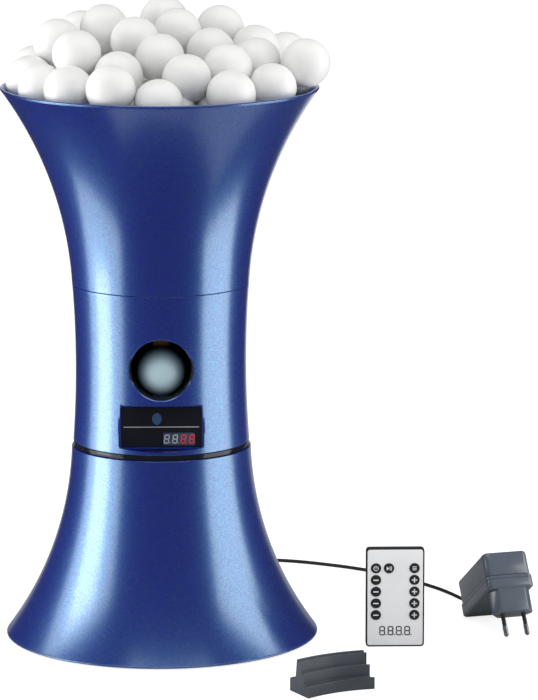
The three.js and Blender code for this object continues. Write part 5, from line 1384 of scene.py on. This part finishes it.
# The balls' places: x and y in shares of the bowl's lip, z in balls above the bowl's rim
PLACE_SHARES = [
    (0.694, 0.262, -0.292), (-0.189, 0.552, -0.265), (-0.581, 0.524, -0.095),
    (-0.008, -0.791, -0.053), (0.580, 0.547, -0.028), (-0.497, 0.137, 0.015),
    (-0.002, 0.795, 0.035), (0.402, 0.288, 0.037), (0.307, 0.758, 0.077), (0.448, -0.686, 0.085),
    (-0.746, -0.346, 0.092), (0.713, -0.416, 0.120), (-0.834, -0.048, 0.155),
    (-0.575, -0.607, 0.160), (0.845, 0.037, 0.195), (-0.307, -0.795, 0.240),
    (-0.310, 0.794, 0.240), (-0.814, 0.263, 0.245), (0.106, 0.523, 0.260),
    (0.170, -0.569, 0.365), (-0.262, -0.488, 0.397), (0.824, 0.422, 0.458),
    (-0.336, 0.414, 0.505), (0.431, -0.401, 0.517), (0.619, -0.150, 0.545),
    (0.934, -0.242, 0.558), (0.621, 0.194, 0.688), (0.002, -0.323, 0.697), (0.329, -0.043, 0.713),
    (-0.526, -0.370, 0.792), (-0.515, 0.649, 0.840), (-0.658, 0.077, 0.865),
    (-0.157, -0.065, 0.950), (0.394, 0.382, 1.033), (0.113, 0.158, 1.052),
    (-0.358, 0.170, 1.135), (0.030, 0.456, 1.208), (-0.000, -0.003, 0.047),
    (0.294, 0.021, -0.292), (0.103, 0.269, -0.292), (-0.206, 0.214, -0.283),
    (-0.296, -0.087, -0.267), (-0.089, -0.323, -0.263), (0.221, -0.280, -0.183),
    (0.605, 0.021, -0.292), (0.493, 0.372, -0.292), (0.280, 0.590, -0.292),
    (-0.017, 0.619, -0.292), (-0.402, 0.490, -0.292), (-0.600, 0.250, -0.292),
    (-0.640, -0.065, -0.292), (-0.523, -0.376, -0.292), (-0.264, -0.586, -0.292),
    (0.072, -0.601, -0.292), (0.371, -0.515, -0.292), (0.583, -0.284, -0.292),
]


class ROBOT_OT_balls(RobotOperator, bpy.types.Operator):
    """Heaps the balls in the bowl and puts one between the wheels"""

    bl_idname = "robot.balls"
    bl_label = "Balls"

    def execute(self, context):
        radius = context.scene.robot_sizes.ball_radius
        scale = (LIP_RADIUS, LIP_RADIUS, 2 * radius)
        lying = np.array(PLACE_SHARES) * scale + [0, 0, BOWL_TOP]
        dress(ball_mesh("ball_crown", lying, radius, 44), "bowl", "ball", "ball_white", "ball_heap")
        low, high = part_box("launcher_ball")
        ready = ball_mesh("ready_ball", np.array([(low + high) / 2]), radius, 96)
        # The ball between the wheels gets the finish with painted shade.
        dress(ready, "head", "ball", "ball_in_shade", "launcher_ball")
        return {"FINISHED"}


def ball_mesh(name, centres, radius, sides):
    """Spheres on a grid of longitude and latitude, one for each centre, in one mesh."""
    rings = sides // 2
    latitude = np.linspace(-np.pi / 2, np.pi / 2, rings + 1)
    unit = spun(np.column_stack([np.cos(latitude), np.sin(latitude)]), sides).reshape(-1, 3)
    corners = (radius * unit[None] + centres[:, None, :]).reshape(-1, 3)
    shift = (np.arange(len(centres)) * len(unit))[:, None, None]
    faces = (grid_faces(rings + 1, sides)[None] + shift).reshape(-1, 4)
    return merged_mesh(name, corners, faces.tolist())


# Remote control


class ROBOT_OT_remote(RobotOperator, bpy.types.Operator):
    """Builds the remote control: case, printed face, eleven buttons, tray and cell"""

    bl_idname = "robot.remote"
    bl_label = "Remote control"

    def execute(self, context):
        x, y = REMOTE_PLACE
        put = standing(x, y, REMOTE_HEIGHT / 2)
        front = REMOTE_HALF
        recess = [(0.8 * MM, front), (REMOTE_RIM, front - 0.2 * MM), (REMOTE_RIM, front - 4.4 * MM)]
        steps = np.concatenate([edge_steps(-REMOTE_HALF, REMOTE_HALF, 0.6 * MM, 4), recess])
        case = slab("remote_body", REMOTE_WIDTH, REMOTE_HEIGHT, REMOTE_CORNER, steps, put)
        mouth_steps = [(0, -2.85 * MM), (0, -0.2 * MM)]
        mouth_place = standing(x + REMOTE_WIDTH / 2, y, 26 * MM)
        carve(case, slab("tool", 40 * MM, 23.6 * MM, 0.3 * MM, mouth_steps, mouth_place))
        dress(case, "ground_set", "black_plastic", "satin_black", "remote_case")
        inset = REMOTE_RIM + SEAT_GAP
        width, height = REMOTE_WIDTH - 2 * inset, REMOTE_HEIGHT - 2 * inset
        steps = edge_steps(front - FACE_THICKNESS, front, 0.25 * MM, 3)
        plate = slab("remote_plate", width, height, REMOTE_CORNER - REMOTE_RIM, steps, put)
        holes = [cutter(BUTTON_HOLE_RADIUS, (-1 * MM, -5 * MM), 48, place) for _, place, _ in button_table()]
        carve(plate, *holes)
        dress(plate, "ground_set", "white_plastic", "pale_face", "remote_face")
        make_buttons()
        digits = []
        for k in range(4):
            left = x + (-10.6 + 6.9 * k) * MM
            digits += eight(left, 13.6 * MM, 3.9 * MM, 6.9 * MM, 0.95 * MM, gap=0.02)
            digits.append(dot(left + 3.15 * MM, 10.2 * MM, 0.52 * MM))
        legend = printed("remote_digits", digits, y - front - 0.08 * MM, 0.13 * MM)
        dress(legend, "ground_set", "black_plastic", "black_print")
        repaint("board_green", "remote_board")
        make_tray()
        return {"FINISHED"}


def button_table():
    """Each button's name, place and symbol."""
    rows = [
        ("power", -BUTTON_SIDE_X, 0, "power"),
        ("play", BUTTON_PLAY_X, 0, "play"),
        ("mode", BUTTON_SIDE_X, 0, "menu"),
    ]
    for row, name in enumerate(("frequency", "oscillation", "topspin", "backspin"), 1):
        rows.append((f"{name}_minus", -BUTTON_SIDE_X, row, "minus"))
        rows.append((f"{name}_plus", BUTTON_SIDE_X, row, "plus"))
    x, y = REMOTE_PLACE
    return [
        (name, (x + along, y, BUTTON_TOP_ROW - row * BUTTON_ROW_PITCH), kind)
        for name, along, row, kind in rows
    ]


def symbol(kind, x, z):
    """Outlines of a button's plain symbol."""
    long, thick = 4.3 * MM, 0.95 * MM
    if kind == "minus":
        return [bar(x, z, long, thick)]
    if kind == "plus":
        arm = long / 2 - thick / 4
        middle = arm / 2 + thick / 4
        return [bar(x, z, long, thick), bar(x, z + middle, thick, arm), bar(x, z - middle, thick, arm)]
    if kind == "menu":
        return [bar(x, z + k * 1.3 * MM, 3.4 * MM, 0.6 * MM) for k in (-1, 0, 1)]
    if kind == "play":
        left, half = x - 1.9 * MM, 1.7 * MM
        arrow = [(left, z - half), (left + 2.2 * MM, z), (left, z + half)]
        return [arrow, *(bar(x + place, z, 0.6 * MM, 2 * half) for place in (0.9 * MM, 2.0 * MM))]
    ring = [
        np.concatenate([arc(x, z, 2.1 * MM, start, end, 12), arc(x, z, 1.55 * MM, end, start, 12)])
        for start, end in ((115, 150), (150, 240), (240, 330), (330, 425))
    ]
    return [*ring, bar(x, z + 1.1 * MM, 0.55 * MM, 2.4 * MM)]


def make_buttons():
    """Round rubber buttons with soft edges and a raised pale symbol on each."""
    proud = REMOTE_HALF + BUTTON_PROUD
    flange = REMOTE_HALF - FACE_THICKNESS - SEAT_GAP
    wide = 4.7 * MM
    top = proud + 0.02 * MM
    profile = np.concatenate(
        [
            [(0, flange - 0.5 * MM), (wide, flange - 0.5 * MM), (wide, flange), (BUTTON_RADIUS, flange)],
            arc(BUTTON_RADIUS - BUTTON_EDGE, proud - BUTTON_EDGE, BUTTON_EDGE, 0, 90),
            [(2 * MM, top), (0, top)],
        ]
    )
    for name, (x, y, z), kind in button_table():
        button = surface(f"button_{name}_cap", spun(profile * [1, -1], 48, "y", (x, y, z)))
        dress(button, f"key_{name}", "black_rubber", "black_rubber", f"button_{name}")
        mark = printed(f"button_{name}_mark", symbol(kind, x, z), y - proud - 0.1 * MM, 0.12 * MM)
        dress(mark, f"key_{name}", "white_plastic", "white_print")


def make_tray():
    """The battery tray with its round pocket, and the coin cell in it."""
    low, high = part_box("battery_tray")
    middle = (low + high) / 2
    steps = edge_steps(-high.y, -low.y, 0.2 * MM, 2)
    place = standing(middle.x, 0, middle.z)
    tray = slab("tray_plate", high.x - low.x, high.z - low.z, 0.8 * MM, steps, place)
    cell_low, cell_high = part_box("coin_cell")
    centre = ((cell_low.x + cell_high.x) / 2, 0, middle.z)
    carve(tray, cutter(CELL_POCKET_RADIUS, (cell_high.y + 0.1 * MM, low.y - 2 * MM), 72, centre))
    dress(tray, "tray", "black_plastic", "satin_black", "battery_tray")
    can = mm([(0, 0), (7.6, 0), (8.0, 0.25), (9.7, 0.3), (10, 0.6)]) + [0, cell_low.y]
    profile = np.concatenate([can, [(10 * MM, cell_high.y), (0, cell_high.y)]])
    dress(surface("cell", spun(profile, 72, "y", centre)), "tray", "steel", "nickel_plate", "coin_cell")


# Tilt stand


class ROBOT_OT_stand(RobotOperator, bpy.types.Operator):
    """Builds the stepped tilt stand"""

    bl_idname = "robot.stand"
    bl_label = "Tilt stand"

    def execute(self, context):
        steps = [(x + depth, z + rise) for x, z in STAND_STEPS_MM for depth, rise in STAND_STEP_MM]
        profile = rounded_corners(mm(steps + STAND_BACK_MM)[::-1], STAND_EDGE, 6)
        points = stand_points(profile[:, 0], profile[:, 1])
        stand = surface("stand_steps", points, caps=True)
        dress(stand, "ground_set", "black_plastic", "grained_black", "tilt_stand")
        return {"FINISHED"}


def stand_points(depth, height):
    """The stand's section carried along its bow: y = sqrt((bow + depth)^2 - x^2), then its yaw."""
    half = STAND_LENGTH / 2
    radius = STAND_BOW + depth
    x = half * np.linspace(-1, 1, 41)[:, None] + 0 * radius
    y = np.sqrt(radius**2 - x**2) - np.sqrt(STAND_BOW**2 - half**2)
    turn_sin, turn_cos = np.sin(STAND_YAW), np.cos(STAND_YAW)
    points = np.stack([x * turn_cos - y * turn_sin, x * turn_sin + y * turn_cos, height + 0 * x], -1)
    return points + np.array([*STAND_PLACE, 0])


class ROBOT_PT_panel(bpy.types.Panel):
    """Lists the robot's pieces, sizes and colours"""

    bl_idname = "ROBOT_PT_panel"
    bl_label = "Robot"
    bl_space_type = "VIEW_3D"
    bl_region_type = "UI"
    bl_category = "Robot"

    def draw(self, context):
        column = self.layout.column()
        for group in (context.scene.robot_sizes, context.scene.robot_colours):
            for key in group.__annotations__:
                column.prop(group, key)
        for operator in OPERATORS:
            column.operator(operator.bl_idname)


OPERATORS = [
    ROBOT_OT_stage,
    ROBOT_OT_cord,
    ROBOT_OT_base,
    ROBOT_OT_head,
    ROBOT_OT_panel,
    ROBOT_OT_bowl,
    ROBOT_OT_balls,
    ROBOT_OT_remote,
    ROBOT_OT_stand,
]
CLASSES = [RobotSizes, RobotColours, *OPERATORS, ROBOT_PT_panel]


def register():
    for each in CLASSES:
        bpy.utils.register_class(each)
    bpy.types.Scene.robot_sizes = bpy.props.PointerProperty(type=RobotSizes)
    bpy.types.Scene.robot_colours = bpy.props.PointerProperty(type=RobotColours)


def unregister():
    del bpy.types.Scene.robot_colours
    del bpy.types.Scene.robot_sizes
    for each in reversed(CLASSES):
        bpy.utils.unregister_class(each)


def main():
    register()
    bpy.ops.robot.stage()
    bpy.ops.robot.cord()
    bpy.ops.robot.base()
    bpy.ops.robot.head()
    bpy.ops.robot.panel()
    bpy.ops.robot.bowl()
    bpy.ops.robot.balls()
    bpy.ops.robot.remote()
    bpy.ops.robot.stand()


if __name__ == "__main__":
    main()
